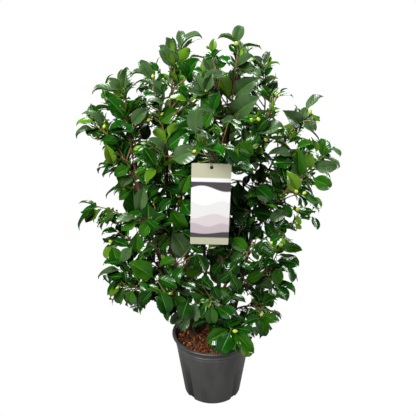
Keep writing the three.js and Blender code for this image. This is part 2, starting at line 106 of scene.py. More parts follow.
def placed(across, down, y):
    """The point at y that is seen at a place in the picture."""
    ray = FORWARD + SKYWARD * (PICTURE / 2 - down) / SIGHT_SCALE
    ray.x = (across - PICTURE / 2) / SIGHT_SCALE
    return EYE + ray * (y - EYE.y) / ray.y


# Nursery pot
# Moulded in one piece from charcoal plastic: a tapered wall under a stiffening band, with a rolled lip.
# The foot is bevelled, and four notches in it let the water out.
POT_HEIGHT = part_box("pot")[1].z / MM
RIM_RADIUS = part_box("pot")[1].y / MM
LIP_OVERHANG = 6
BODY_TOP_RADIUS = RIM_RADIUS - LIP_OVERHANG
FOOT_SHARE = 0.7
FOOT_RADIUS = RIM_RADIUS * FOOT_SHARE
FOOT_BEVEL = 3
WALL = 2.2
POT_FLOOR = 3.0
LIP_HEIGHT = 5
LIP_FOOT = POT_HEIGHT - LIP_HEIGHT
BAND_HEIGHT = 24
BAND_FOOT = POT_HEIGHT - BAND_HEIGHT
BAND_STEP = 1.6
BEAD_FOOT = 2.2
BEAD_TOP = 3.4
FAINT_RIB_DROP = 33
FAINT_RIB = POT_HEIGHT - FAINT_RIB_DROP
FAINT_RIB_HALF = 2
RIB_PROUD = 0.7
FAINTNESS = 0.6
POT_SIDES = 160
DRAIN_ANGLES = (48, 132, 228, 312)
DRAIN_WIDTH = 22
DRAIN_HEIGHT = 9
DRAIN_DEPTH = 9
DRAIN_CORNER = 3
# A corner is rounded off over at most this share of the edges beside it
ROUNDED_SHARE = 0.45
CORNER_STEPS = 4
# Where the colours go in and come out of a Mix node
MIX_FIRST, MIX_SECOND, MIX_RESULT = 6, 7, 2
BLOTCH_CONTRAST = (0.32, 0.68)


def mix(a, b, share):
    return a + (b - a) * share


def wall_radius(z):
    return mix(FOOT_RADIUS, BODY_TOP_RADIUS, z / POT_HEIGHT)


def rounded(corners):
    """An outline whose corners (x, y, radius) are rounded off by short arcs."""
    points = []
    for index, (x, y, radius) in enumerate(corners):
        here = Vector((x, y))
        if radius == 0:
            points.append(here)
            continue
        before = Vector(corners[index - 1][:2])
        after = Vector(corners[(index + 1) % len(corners)][:2])
        into = min(radius, (before - here).length * ROUNDED_SHARE, (after - here).length * ROUNDED_SHARE)
        start = here + (before - here).normalized() * into
        end = here + (after - here).normalized() * into
        for step in range(CORNER_STEPS + 1):
            share = step / CORNER_STEPS
            points.append(mix(mix(start, here, share), mix(here, end, share), share))
    return points


def new_piece(name, points, faces, materials, face_slots=None, sharp=40):
    """A piece whose points are given in millimetres in the plant's own frame."""
    mesh = bpy.data.meshes.new(name)
    places = np.asarray([tuple(point) for point in points], float) * MM
    mesh.from_pydata(places.tolist(), [], faces)
    for material in materials:
        mesh.materials.append(material)
    if face_slots is not None:
        mesh.polygons.foreach_set("material_index", face_slots)
    mesh.polygons.foreach_set("use_smooth", [True] * len(mesh.polygons))
    mesh.set_sharp_from_angle(angle=math.radians(sharp))
    mesh.update()
    return in_scene(name, mesh)


def turned_faces(rings, sides, first=0):
    """Faces round an axis, from a point on it through the points of each ring to a point on it again."""
    last = first + 1 + rings * sides
    faces = []
    for side in range(sides):
        after = (side + 1) % sides
        faces.append((first, first + 1 + after, first + 1 + side))
        for ring in range(rings - 1):
            low = first + 1 + ring * sides
            faces.append((low + side, low + after, low + sides + after, low + sides + side))
        faces.append((last - sides + side, last - sides + after, last))
    return faces


def lathed(profile, sides, ripple=None):
    """Points and faces of a profile (radius, z) turned round the pot's axis, its two ends on the axis."""
    points = [Vector((0, 0, profile[0][1]))]
    rings = profile[1:-1]
    for radius, z in rings:
        for side in range(sides):
            angle = math.tau * side / sides
            point = Vector((radius * math.cos(angle), radius * math.sin(angle), z))
            points.append(ripple(point) if ripple else point)
    points.append(Vector((0, 0, profile[-1][1])))
    return points, turned_faces(len(rings), sides)


def finished(piece):
    """The piece with its modifiers worked into a plain mesh."""
    graph = bpy.context.evaluated_depsgraph_get()
    mesh = bpy.data.meshes.new_from_object(piece.evaluated_get(graph))
    piece.modifiers.clear()
    piece.data = mesh
    return piece


def notch_cutter(angle):
    """A block with rounded upper corners that stands across the foot's wall."""
    half = DRAIN_WIDTH / 2
    outline = rounded([
        (-half, -DRAIN_HEIGHT, 0), (half, -DRAIN_HEIGHT, 0),
        (half, DRAIN_HEIGHT, DRAIN_CORNER), (-half, DRAIN_HEIGHT, DRAIN_CORNER),
    ])
    turn = math.radians(angle)
    points = []
    for depth in (-DRAIN_DEPTH, DRAIN_DEPTH):
        for x, z in outline:
            y = depth - FOOT_RADIUS
            level = (x * math.cos(turn) - y * math.sin(turn), x * math.sin(turn) + y * math.cos(turn))
            points.append((*level, z))
    count = len(outline)
    faces = [tuple(range(count)), tuple(range(2 * count - 1, count - 1, -1))]
    for i in range(count):
        after = (i + 1) % count
        faces.append((i, count + i, count + after, after))
    return new_piece(f"notch_{angle}", points, faces, [])


def feed(tree, socket, source):
    """Links a socket to another one, or gives it a plain value."""
    if isinstance(source, bpy.types.NodeSocket):
        tree.links.new(source, socket)
    else:
        socket.default_value = source


def wire(tree, node, sources):
    """Feeds a node's inputs, each told by its name or place."""
    for key, source in sources.items():
        feed(tree, node.inputs[key], source)
    return node


def add_node(tree, kind, sources=None, **settings):
    """A new node with its settings made and its inputs fed."""
    node = tree.nodes.new(kind)
    for name, value in settings.items():
        setattr(node, name, value)
    return wire(tree, node, sources or {})


def new_group(name, kind, takes, gives):
    """A node group with named inputs and outputs, and the sockets that its inputs come in by."""
    tree = bpy.data.node_groups.new(name, kind)
    for way, sockets in (("INPUT", takes), ("OUTPUT", gives)):
        for socket, form in sockets.items():
            tree.interface.new_socket(name=socket, in_out=way, socket_type=f"NodeSocket{form}")
    return tree, tree.nodes.new("NodeGroupInput").outputs


def mottle_group():
    """Soft blotches and fine grain over a surface: a mixed colour, a blotch mask and a grain height."""
    tree, given = new_group("mottle", "ShaderNodeTree", {
        "Dark": "Color", "Light": "Color", "Stretch": "Vector",
        "Blotch Scale": "Float", "Grain Scale": "Float",
    }, {"Color": "Color", "Blotch": "Float", "Grain": "Float"})
    place = add_node(tree, "ShaderNodeTexCoord").outputs["Object"]
    stretched = add_node(tree, "ShaderNodeVectorMath", {0: place, 1: given["Stretch"]}, operation="MULTIPLY")
    blotch, grain = [
        add_node(tree, "ShaderNodeTexNoise",
                 {"Vector": stretched.outputs[0], "Scale": given[scale], "Detail": detail}).outputs["Fac"]
        for scale, detail in (("Blotch Scale", 3), ("Grain Scale", 4))
    ]
    contrast = add_node(tree, "ShaderNodeMapRange", {
        "Value": blotch, "From Min": BLOTCH_CONTRAST[0], "From Max": BLOTCH_CONTRAST[1],
    }).outputs["Result"]
    blend = add_node(tree, "ShaderNodeMix", {
        "Factor": contrast, MIX_FIRST: given["Dark"], MIX_SECOND: given["Light"],
    }, data_type="RGBA").outputs[MIX_RESULT]
    add_node(tree, "NodeGroupOutput", {"Color": blend, "Blotch": contrast, "Grain": grain})
    return tree


mottle = mottle_group()


def mottled(name, dark, light, blotch, grain, roughness, bump, stretch=(1, 1, 1), uneven=0.06, **plain):
    """A finish whose colour, gloss and fine relief vary over the surface. Scales are blotches per metre."""
    material = bpy.data.materials.new(name)
    material.use_nodes = True
    tree = material.node_tree
    pattern = add_node(tree, "ShaderNodeGroup", {
        "Dark": (*dark, 1), "Light": (*light, 1), "Stretch": stretch,
        "Blotch Scale": blotch, "Grain Scale": grain,
    }, node_tree=mottle).outputs
    gloss = add_node(tree, "ShaderNodeMapRange", {
        "Value": pattern["Blotch"], "To Min": roughness - uneven, "To Max": roughness + uneven,
    })
    relief = add_node(tree, "ShaderNodeBump", {"Height": pattern["Grain"], "Strength": bump, "Distance": MM})
    wire(tree, tree.nodes["Principled BSDF"], {
        "Base Color": pattern["Color"], "Roughness": gloss.outputs["Result"],
        "Normal": relief.outputs["Normal"],
        **{socket.replace("_", " "): value for socket, value in plain.items()},
    })
    return material


def pot_profile():
    """The outline from the middle of the foot over the lip to the floor: radius, height and rounding."""
    band_radius = wall_radius(BAND_FOOT)
    rib_foot, rib_top = FAINT_RIB - FAINT_RIB_HALF, FAINT_RIB + FAINT_RIB_HALF
    outside = [
        (0, 0, 0),
        (FOOT_RADIUS - FOOT_BEVEL, 0, 1.2),
        (wall_radius(FOOT_BEVEL), FOOT_BEVEL, 2),
        (wall_radius(rib_foot), rib_foot, 0.5),
        (wall_radius(FAINT_RIB) + RIB_PROUD * FAINTNESS, FAINT_RIB, 0.6),
        (wall_radius(rib_top), rib_top, 0.5),
        (band_radius - BAND_STEP, BAND_FOOT - BAND_STEP, 0.6),
        (band_radius + RIB_PROUD, BAND_FOOT, 0.7),
        (band_radius + RIB_PROUD, BAND_FOOT + BEAD_FOOT, 0.8),
        (band_radius - 0.2, BAND_FOOT + BEAD_TOP, 0.5),
        (wall_radius(LIP_FOOT) - 0.4, LIP_FOOT - 0.5, 1.5),
        (RIM_RADIUS, LIP_FOOT + 0.6, 1.4),
        (RIM_RADIUS, POT_HEIGHT, 2.4),
    ]
    inside = [
        (BODY_TOP_RADIUS - WALL, POT_HEIGHT, 1.6),
        (band_radius - BAND_STEP - WALL, BAND_FOOT, 1),
        (wall_radius(POT_FLOOR) - WALL, POT_FLOOR, 1.5),
        (0, POT_FLOOR, 0),
    ]
    return rounded(outside + inside)


pot_plastic = mottled(
    "pot_plastic", dark=(0.040, 0.040, 0.038), light=(0.062, 0.062, 0.059), blotch=30, grain=1400,
    roughness=0.42, bump=0.12, stretch=(1, 1, 0.35), uneven=0.05, Coat_Weight=0.1, Coat_Roughness=0.3,
)
pot = new_piece("pot_shell", *lathed(pot_profile(), POT_SIDES), [pot_plastic], sharp=50)
cutters = [notch_cutter(angle) for angle in DRAIN_ANGLES]
for cutter in cutters:
    cut = pot.modifiers.new(cutter.name, "BOOLEAN")
    cut.operation = "DIFFERENCE"
    cut.solver = "EXACT"
    cut.object = cutter
finished(pot)
for cutter in cutters:
    bpy.data.objects.remove(cutter)
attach(pot, "root")
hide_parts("pot")


# Root ball
# The compost that fills the pot, dark and crumbly, drawn down a little at the wall.
# Only its top shows between the bark chips, and a little of its side in the drain notches.
SOIL_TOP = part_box("root_ball")[1].z / MM
SOIL_DROP = 5
SOIL_EDGE = SOIL_TOP - SOIL_DROP
SOIL_DOME = 4
SEAT_GAP = 0.3
SOIL_RIPPLE = 1.6
CRUMB_SCALE = 0.12
SOIL_SIDES = 96


def soil_radius(z):
    return wall_radius(z) - WALL - SEAT_GAP


def rippled(point):
    """Crumbs stand up on the compost's top, and its side stays smooth against the pot."""
    if point.z < SOIL_EDGE:
        return point
    lump = noise.noise(point * CRUMB_SCALE) * SOIL_RIPPLE
    return point + Vector((0, 0, lump - SOIL_RIPPLE))


soil_profile = [
    (0, POT_FLOOR + SEAT_GAP),
    (soil_radius(POT_FLOOR) - 2, POT_FLOOR + SEAT_GAP),
    (soil_radius(BAND_FOOT) - BAND_STEP - 1, BAND_FOOT),
    (soil_radius(BAND_FOOT) - BAND_STEP, SOIL_EDGE - 1),
]
soil_profile += [(share * soil_radius(BAND_FOOT) - BAND_STEP, SOIL_EDGE + SOIL_DOME * (1 - share))
                 for share in (1.0, 0.95, 0.88, 0.8, 0.7, 0.6, 0.5, 0.4, 0.3, 0.2, 0.1)]
soil_profile.append((0, SOIL_TOP - SOIL_RIPPLE))
compost = mottled(
    "compost", dark=(0.012, 0.007, 0.004), light=(0.040, 0.020, 0.010), blotch=160, grain=900,
    roughness=0.9, bump=0.8,
)
soil = new_piece("compost_ball", *lathed(soil_profile, SOIL_SIDES, rippled), [compost], sharp=60)
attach(soil, "root")
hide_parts("root_ball")


# Bark mulch
# A loose layer of chipped conifer bark on the compost, from orange-brown to almost black.
# The chips are flat splinters and flakes, thrown on by hand, so some lie flat and others lean.
MULCH_MARGIN = 6
MULCH_RADIUS = soil_radius(BAND_FOOT) - MULCH_MARGIN
MULCH_SINK = 3
MULCH_FOOT = SOIL_TOP - MULCH_SINK
MULCH_SIDES = 48
MULCH_DEPTH = 6.5
CHIP_SIZE = (15, 6.5, 3.2)
CHIP_POINTS = 13
CHIP_SCALES = (0.45, 1.2)
CHIP_LEAN = 0.7
CHIP_SHINE = 0.15
# A chip's points are drawn in towards one distance, so that it is blunt and has no needles
CHIP_EVENNESS = 0.6
CHIP_CORE = 0.4
CHIP_KINDS = (
    # name, darkest and lightest colour, chips in a square metre, seed
    ("orange", (0.20, 0.046, 0.007), (0.32, 0.090, 0.016), 10000, 11),
    ("brown", (0.085, 0.020, 0.005), (0.155, 0.038, 0.009), 17000, 23),
    ("dark", (0.018, 0.007, 0.004), (0.050, 0.017, 0.007), 15000, 37),
    ("tan", (0.30, 0.14, 0.055), (0.44, 0.23, 0.10), 2200, 41),
)


def chip_shape(name, seed):
    """An angular flake: the hull of a few points thrown into a flat, long lump."""
    draws = np.random.default_rng(seed)
    shape = bmesh.new()
    for _ in range(CHIP_POINTS):
        throw = draws.normal(size=3)
        throw /= np.abs(throw).sum() ** CHIP_EVENNESS + CHIP_CORE
        shape.verts.new([throw[i] * CHIP_SIZE[i] / 2 * MM for i in range(3)])
    hull = bmesh.ops.convex_hull(shape, input=shape.verts)
    left_over = {part for part in hull["geom_interior"] + hull["geom_unused"]
                 if isinstance(part, bmesh.types.BMVert)}
    bmesh.ops.delete(shape, geom=list(left_over), context="VERTS")
    bmesh.ops.recalc_face_normals(shape, faces=shape.faces)
    mesh = bpy.data.meshes.new(name)
    shape.to_mesh(mesh)
    shape.free()
    return in_scene(name, mesh)


def reckoned(tree, operation, first, second=0.0):
    """The outcome of a sum on two sockets or values."""
    return add_node(tree, "ShaderNodeMath", {0: first, 1: second}, operation=operation).outputs[0]


def scatter_tree():
    """Chips strewn over a surface, at any turn, some lying flat and some leaning, one on another."""
    tree, given = new_group("strewn_chips", "GeometryNodeTree", {
        "Ground": "Geometry", "Chip": "Object", "Finish": "Material", "Seed": "Int", "Density": "Float",
        "Smallest": "Float", "Largest": "Float", "Depth": "Float", "Lean": "Float",
    }, {"Chips": "Geometry"})

    def drawn(low, high, key):
        """A number between two others, drawn anew for each chip."""
        value = add_node(tree, "FunctionNodeRandomValue", data_type="FLOAT")
        least, most = [socket for socket in value.inputs if socket.enabled][:2]
        feed(tree, least, low)
        feed(tree, most, high)
        wire(tree, value, {"Seed": reckoned(tree, "ADD", given["Seed"], key)})
        return next(socket for socket in value.outputs if socket.enabled)

    def vector(x, y, z):
        return add_node(tree, "ShaderNodeCombineXYZ", {"X": x, "Y": y, "Z": z}).outputs[0]

    backwards = reckoned(tree, "MULTIPLY", given["Lean"], -1)
    lean = [drawn(backwards, given["Lean"], key) for key in (1, 2)]
    turn = drawn(0.0, math.tau, 3)
    size = drawn(given["Smallest"], given["Largest"], 4)
    lift = drawn(0.0, given["Depth"], 5)
    spread = add_node(tree, "GeometryNodeDistributePointsOnFaces", {
        "Mesh": given["Ground"], "Density": given["Density"], "Seed": given["Seed"],
    })
    lifted = add_node(tree, "GeometryNodeSetPosition", {
        "Geometry": spread.outputs["Points"], "Offset": vector(0.0, 0.0, lift),
    })
    chip = add_node(tree, "GeometryNodeObjectInfo", {"Object": given["Chip"]})
    strewn = add_node(tree, "GeometryNodeInstanceOnPoints", {
        "Points": lifted.outputs["Geometry"], "Instance": chip.outputs["Geometry"],
        "Rotation": vector(*lean, turn), "Scale": size,
    })
    solid = add_node(tree, "GeometryNodeRealizeInstances", {"Geometry": strewn.outputs["Instances"]})
    coloured = add_node(tree, "GeometryNodeSetMaterial", {
        "Geometry": solid.outputs["Geometry"], "Material": given["Finish"],
    })
    add_node(tree, "NodeGroupOutput", {"Chips": coloured.outputs["Geometry"]})
    return tree


def strew(name, tree, values):
    """A round patch of ground replaced by the chips that the tree strews on it."""
    angles = [math.tau * side / MULCH_SIDES for side in range(MULCH_SIDES)]
    ring = [(MULCH_RADIUS * math.cos(angle), MULCH_RADIUS * math.sin(angle), MULCH_FOOT) for angle in angles]
    patch = new_piece(name, ring, [tuple(range(MULCH_SIDES))], [])
    strewing = patch.modifiers.new("strewn_chips", "NODES")
    strewing.node_group = tree
    for item in tree.interface.items_tree:
        if item.in_out == "INPUT" and item.name in values:
            strewing[item.identifier] = values[item.name]
    return finished(patch)


chip_tree = scatter_tree()
for kind, dark, light, density, seed in CHIP_KINDS:
    chip = chip_shape(f"chip_{kind}", seed)
    finish = mottled(f"bark_chip_{kind}", dark, light, blotch=260, grain=1100, roughness=0.85, bump=0.7,
                     Specular_IOR_Level=CHIP_SHINE)
    chips = strew(f"mulch_{kind}", chip_tree, {
        "Chip": chip, "Density": float(density), "Smallest": CHIP_SCALES[0], "Largest": CHIP_SCALES[1],
        "Depth": MULCH_DEPTH * MM, "Lean": CHIP_LEAN, "Seed": seed, "Finish": finish,
    })
    bpy.data.objects.remove(chip)
    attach(chips, "root")
    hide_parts("root_ball")


# Stems
# Five woody stems stand in the compost, each swollen at its foot and thinner upwards.
# Their bark is dark brown and ridged lengthwise, with a scar wherever a leaf has fallen.
STEMS = (
    # name, foot, tip, how far the middle bows out, radius above the flare
    ("tall", (16, -14), (54, -12, 926), (-12, 4), 7.0),
    ("left", (-52, -6), (-88, -14, 906), (-40, -8), 6.2),
    ("outer_left", (-60, 24), (-204, -16, 850), (-34, 0), 5.8),
    ("right", (44, 22), (124, 30, 880), (24, 4), 6.0),
    ("back", (-12, 52), (-30, 136, 850), (-6, 30), 6.0),
)
STEM_TIP_RADIUS = 2.4
STEM_BARE_SHARE = 0.8
FLARE = 4.0
FLARE_HEIGHT = 16.0
BARK_STEP = 4.0
BARK_SIDES = 16
BARK_RIDGE = 0.11
BARK_SHARPNESS = 70
RIDGES_ROUND = 1.6
RIDGES_ALONG = 0.03
FINE_RIDGES = 2.7
FLARE_LOBES = 3
LOBE_SHARE = 0.3
SCAR_SPACING = 34.0
SCAR_WIDTH = 1.6
SCAR_TURN = 2.4
SCAR_PROUD = 0.7
# How far the bark's pattern is moved on from one limb to the next
LIMB_SHIFT = 7.3
SCAR_SHIFT = 0.37
CURVE_STEPS = 200
STEM_POINTS = 160
HEADING_REACH = 0.02


def bent_line(start, bend, end, count=64):
    """Evenly spaced points on the curve that leaves start towards bend and comes from bend into end."""
    shares = [step / CURVE_STEPS for step in range(CURVE_STEPS + 1)]
    raw = [mix(mix(start, bend, share), mix(bend, end, share), share) for share in shares]
    return part_of(raw, 0, 1, count)


def length_of(line):
    return sum((b - a).length for a, b in zip(line, line[1:]))


def part_of(line, first, last, count):
    """The stretch of a line between two shares of its length, as count + 1 evenly spaced points."""
    reach = [0.0]
    for a, b in zip(line, line[1:]):
        reach.append(reach[-1] + (b - a).length)
    points = []
    index = 0
    for step in range(count + 1):
        goal = mix(first, last, step / count) * reach[-1]
        while index < len(line) - 2 and reach[index + 1] < goal:
            index += 1
        share = (goal - reach[index]) / (reach[index + 1] - reach[index])
        points.append(mix(line[index], line[index + 1], share))
    return points


def at(line, share):
    """The point of an evenly spaced line at a share of its length."""
    place = min(max(share, 0), 1) * (len(line) - 1)
    index = min(int(place), len(line) - 2)
    return mix(line[index], line[index + 1], place - index)


def heading(line, share):
    return (at(line, share + HEADING_REACH) - at(line, share - HEADING_REACH)).normalized()


def stem_curve(foot, tip, bow):
    """A stem's foot, the point that it bends towards, and its tip."""
    start = Vector((*foot, SOIL_TOP))
    end = Vector(tip)
    return start, mix(start, end, 0.5) + Vector((*bow, 0)) * 2, end


def tube(line, radius_at, sides, first=0):
    """Points and faces of a closed tube along a line. radius_at takes a share of its length and an angle."""
    forward = (line[1] - line[0]).normalized()
    across = forward.orthogonal().normalized()
    points = []
    for index, point in enumerate(line):
        ahead = line[min(index + 1, len(line) - 1)] - line[max(index - 1, 0)]
        forward = ahead.normalized()
        across = (across - forward * across.dot(forward)).normalized()
        other = forward.cross(across)
        for side in range(sides):
            angle = math.tau * side / sides
            radius = radius_at(index / (len(line) - 1), angle)
            points.append(point + (across * math.cos(angle) + other * math.sin(angle)) * radius)
    faces = []
    for ring in range(len(line) - 1):
        low = first + ring * sides
        for side in range(sides):
            after = (side + 1) % sides
            faces.append((low + side, low + after, low + sides + after, low + sides + side))
    faces.append(tuple(first + side for side in reversed(range(sides))))
    faces.append(tuple(first + len(points) - sides + side for side in range(sides)))
    return points, faces


def bark_radius(radius_at, length, seed, flare=0.0):
    """The radius of a limb with ridges that run along it, leaf scars round it, and lobes in its flare."""
    def radius(share, angle):
        along = share * length
        place = Vector((math.cos(angle) * RIDGES_ROUND, math.sin(angle) * RIDGES_ROUND,
                        along * RIDGES_ALONG + seed * LIMB_SHIFT))
        ridge = noise.noise(place) + 0.5 * noise.noise(place * FINE_RIDGES)
        scar = along / SCAR_SPACING + seed * SCAR_SHIFT
        ring = math.exp(-((scar - round(scar)) * SCAR_SPACING / SCAR_WIDTH) ** 2)
        one_side = 0.5 + 0.5 * math.cos(angle - round(scar) * SCAR_TURN)
        lobes = 1 + LOBE_SHARE * math.cos(FLARE_LOBES * angle + seed)
        swelling = flare * math.exp(-along / FLARE_HEIGHT) * lobes
        return radius_at(share) * (1 + BARK_RIDGE * ridge) + SCAR_PROUD * ring * one_side + swelling
    return radius


old_bark = mottled(
    "old_bark", dark=(0.022, 0.010, 0.006), light=(0.085, 0.038, 0.021), blotch=95, grain=520,
    roughness=0.78, bump=0.9, stretch=(1, 1, 0.22),
)
stem_lines = {}
for number, (name, foot, tip, bow, radius) in enumerate(STEMS):
    line = bent_line(*stem_curve(foot, tip, bow), STEM_POINTS)
    stem_lines[name] = line
    length = length_of(line) * STEM_BARE_SHARE
    bare = part_of(line, 0, STEM_BARE_SHARE, int(length / BARK_STEP))
    thickness = bark_radius(lambda share: mix(radius, STEM_TIP_RADIUS, share), length, number, FLARE)
    stem = new_piece(f"bark_stem_{name}", *tube(bare, thickness, BARK_SIDES), [old_bark],
                     sharp=BARK_SHARPNESS)
    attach(stem, "root")
    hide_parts(f"stem_{name}")


# Boughs
# Side limbs that have made wood of their own: red-brown, thinner than the stems, and arching out from them.
# Each ends where its leafy twigs begin. Younger shoots carry leaves almost from the stem, and have no bough.
SHOOTS = (
    # name, stem, height at which it leaves the stem, tip, whether it has a bough
    ("right_arm", "tall", 290, (258, -30, 690), True),
    ("over_rim", "tall", 224, (70, -134, 290), False),
    ("front_low", "tall", 262, (-16, -166, 372), False),
    ("front_left", "left", 330, (-84, -176, 486), False),
    ("front_right", "tall", 390, (92, -176, 512), True),
    ("above_tag", "tall", 556, (-9, -214, 773), True),
    ("inner_front", "tall", 450, (4, -112, 610), False),
    ("inner_right", "right", 440, (104, -96, 642), False),
    ("inner_left", "left", 470, (-52, -52, 664), False),
    ("inner_top", "tall", 610, (66, -76, 742), False),
    ("crown_front", "tall", 720, (2, -86, 890), False),
    ("low_left_front", "left", 250, (-138, -98, 366), False),
    ("left_front", "left", 420, (-158, -164, 596), False),
    ("left_front_top", "left", 580, (-120, -146, 752), False),
    ("crown_left", "left", 700, (-146, 14, 878), False),
    ("low_left", "outer_left", 256, (-222, -60, 348), True),
    ("left_low", "outer_left", 340, (-222, 0, 456), False),
    ("left_middle", "outer_left", 420, (-248, -24, 552), True),
    ("left_top", "outer_left", 590, (-246, -20, 742), True),
    ("low_right", "right", 236, (134, -50, 284), False),
    ("right_low", "right", 290, (172, -50, 404), False),
    ("right_middle", "right", 400, (206, -66, 528), True),
    ("right_top", "right", 560, (214, -16, 790), True),
    ("crown_right", "right", 660, (128, -104, 832), False),
    ("right_back", "right", 430, (226, 112, 600), True),
    ("back_low_right", "right", 260, (132, 120, 336), False),
    ("back_low_left", "back", 260, (-130, 132, 330), False),
    ("back_low", "back", 330, (12, 192, 430), False),
    ("back_left", "outer_left", 480, (-218, 132, 600), True),
    ("back_middle", "back", 450, (-74, 202, 594), False),
    ("back_right", "back", 500, (104, 190, 650), True),
    ("back_top_left", "outer_left", 650, (-164, 112, 776), False),
    ("back_top_right", "right", 680, (154, 124, 796), False),
)
BOUGH_SHARE = 0.5
SHOOT_TIP_RADIUS = 1.5
SHOOT_BASE_RADIUS = 2.4
SHOOT_THICKENING = 0.0055
BEND_OUT = 0.42
BEND_UP = 0.6
BEND_RISE = 0.16
COLLAR = 1.2
COLLAR_LENGTH = 7.0
BOUGH_SEED = 10
SHOOT_POINTS = 48
TWIG_POINTS = 32
# The bare share of the main twig of a stem's crown, of a shoot without a bough, and of a bough's end
CROWN_BARE = 0.04
SHOOT_BARE = 0.14
BOUGH_END_BARE = 0.06

red_bark = mottled(
    "red_bark", dark=(0.055, 0.016, 0.009), light=(0.17, 0.050, 0.025), blotch=120, grain=700,
    roughness=0.62, bump=0.6, stretch=(1, 1, 0.3),
)


def shoot_line(stem, height, tip):
    """A shoot rises first and then arches out to its tip."""
    name, foot, stem_tip, bow, radius = next(row for row in STEMS if row[0] == stem)
    share = (height - SOIL_TOP) / (stem_tip[2] - SOIL_TOP)
    low, bend, high = stem_curve(foot, stem_tip, bow)
    start = mix(mix(low, bend, share), mix(bend, high, share), share)
    run = Vector(tip) - start
    level = math.hypot(run.x, run.y)
    turn = start + Vector((run.x * BEND_OUT, run.y * BEND_OUT, run.z * BEND_UP + level * BEND_RISE))
    return bent_line(start, turn, Vector(tip))


def shoot_radius(base, share):
    return mix(base, SHOOT_TIP_RADIUS, math.sqrt(share))


def bough_radius(base, length):
    """The radius along a bough's bare wood, with a collar where it leaves the stem."""
    def radius(share):
        collar = COLLAR * math.exp(-share * length * BOUGH_SHARE / COLLAR_LENGTH)
        return shoot_radius(base, share * BOUGH_SHARE) + collar
    return radius


# A mass is the leafy end of a stem or shoot: its name, its stem, its main twig, the twig's radius at its
# start, and the share of the twig that is bare
masses = []
bough_lines = {}
for name, foot, tip, bow, radius in STEMS:
    twig = part_of(stem_lines[name], STEM_BARE_SHARE, 1, TWIG_POINTS)
    masses.append((f"crown_{name}_stem", name, twig, STEM_TIP_RADIUS, CROWN_BARE))
for number, (name, stem, height, tip, has_bough) in enumerate(SHOOTS):
    line = shoot_line(stem, height, tip)
    length = length_of(line)
    base = SHOOT_BASE_RADIUS + SHOOT_THICKENING * length
    if not has_bough:
        masses.append((name, stem, part_of(line, 0, 1, SHOOT_POINTS), base, SHOOT_BARE))
        continue
    bare = part_of(line, 0, BOUGH_SHARE, int(length * BOUGH_SHARE / BARK_STEP))
    bough_lines[name] = bare
    thickness = bark_radius(bough_radius(base, length), length * BOUGH_SHARE, number + BOUGH_SEED)
    bough = new_piece(f"bark_bough_{name}", *tube(bare, thickness, BARK_SIDES), [red_bark],
                      sharp=BARK_SHARPNESS)
    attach(bough, "root")
    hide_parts(f"bough_{name}")
    leafy = part_of(line, BOUGH_SHARE, 1, TWIG_POINTS)
    masses.append((name, stem, leafy, shoot_radius(base, BOUGH_SHARE), BOUGH_END_BARE))


# Twigs
# Every mass of foliage is one main twig with side twigs set round it in a spiral, each a little further on.
# They are only laid out here. Leaves and buds settle how far each one grows, so the wood is made after them.
GOLDEN_ANGLE = 2.39996
MASS_MIDDLE = 0.62
SPACE_GAP = -4.0
SIDE_TWIG_SPACING = 17.0
FEWEST_SIDE_TWIGS = 5
FIRST_SIDE_TWIG = 0.06
LAST_SIDE_TWIG = 0.9
SIDE_TWIG_LENGTH = 80.0
SIDE_TWIG_TAPER = (1.15, 0.5)
SIDE_TWIG_VARIES = (0.7, 1.1)
SIDE_TWIG_LEAN = (0.75, 1.1)
SIDE_TWIG_RISE = 0.14
SIDE_TWIG_RADIUS = 1.7
SIDE_TWIG_BARE = 0.25
MASS_TURN = 1.3
TWIG_TRIES = 4
RETRIED_TURN = 1.6
RETRIED_SHORTER = 0.12
TWIG_STEP = 7.0
FEWEST_TWIG_STEPS = 4
# The shares of a side twig that are tried for its mass's own space, and those tried for open sky
KEPT_SHARES = (0.6, 1.0)
CLEAR_SHARES = (0.5, 0.75, 1.0)
LEADER_RADIUS = 1.9
LEADER_BARE = 0.12
LEADER_POINTS = 24
# Leaders are numbered from here, past the side twigs
FIRST_LEADER = 100
# A twig steeper than this is turned round y, and others round z
STEEP = 0.95
POT_MARGIN = 4.0
# The left, right, top and foot of the mulch as it is seen
MULCH_VIEW = (171, 209, 320, 352)
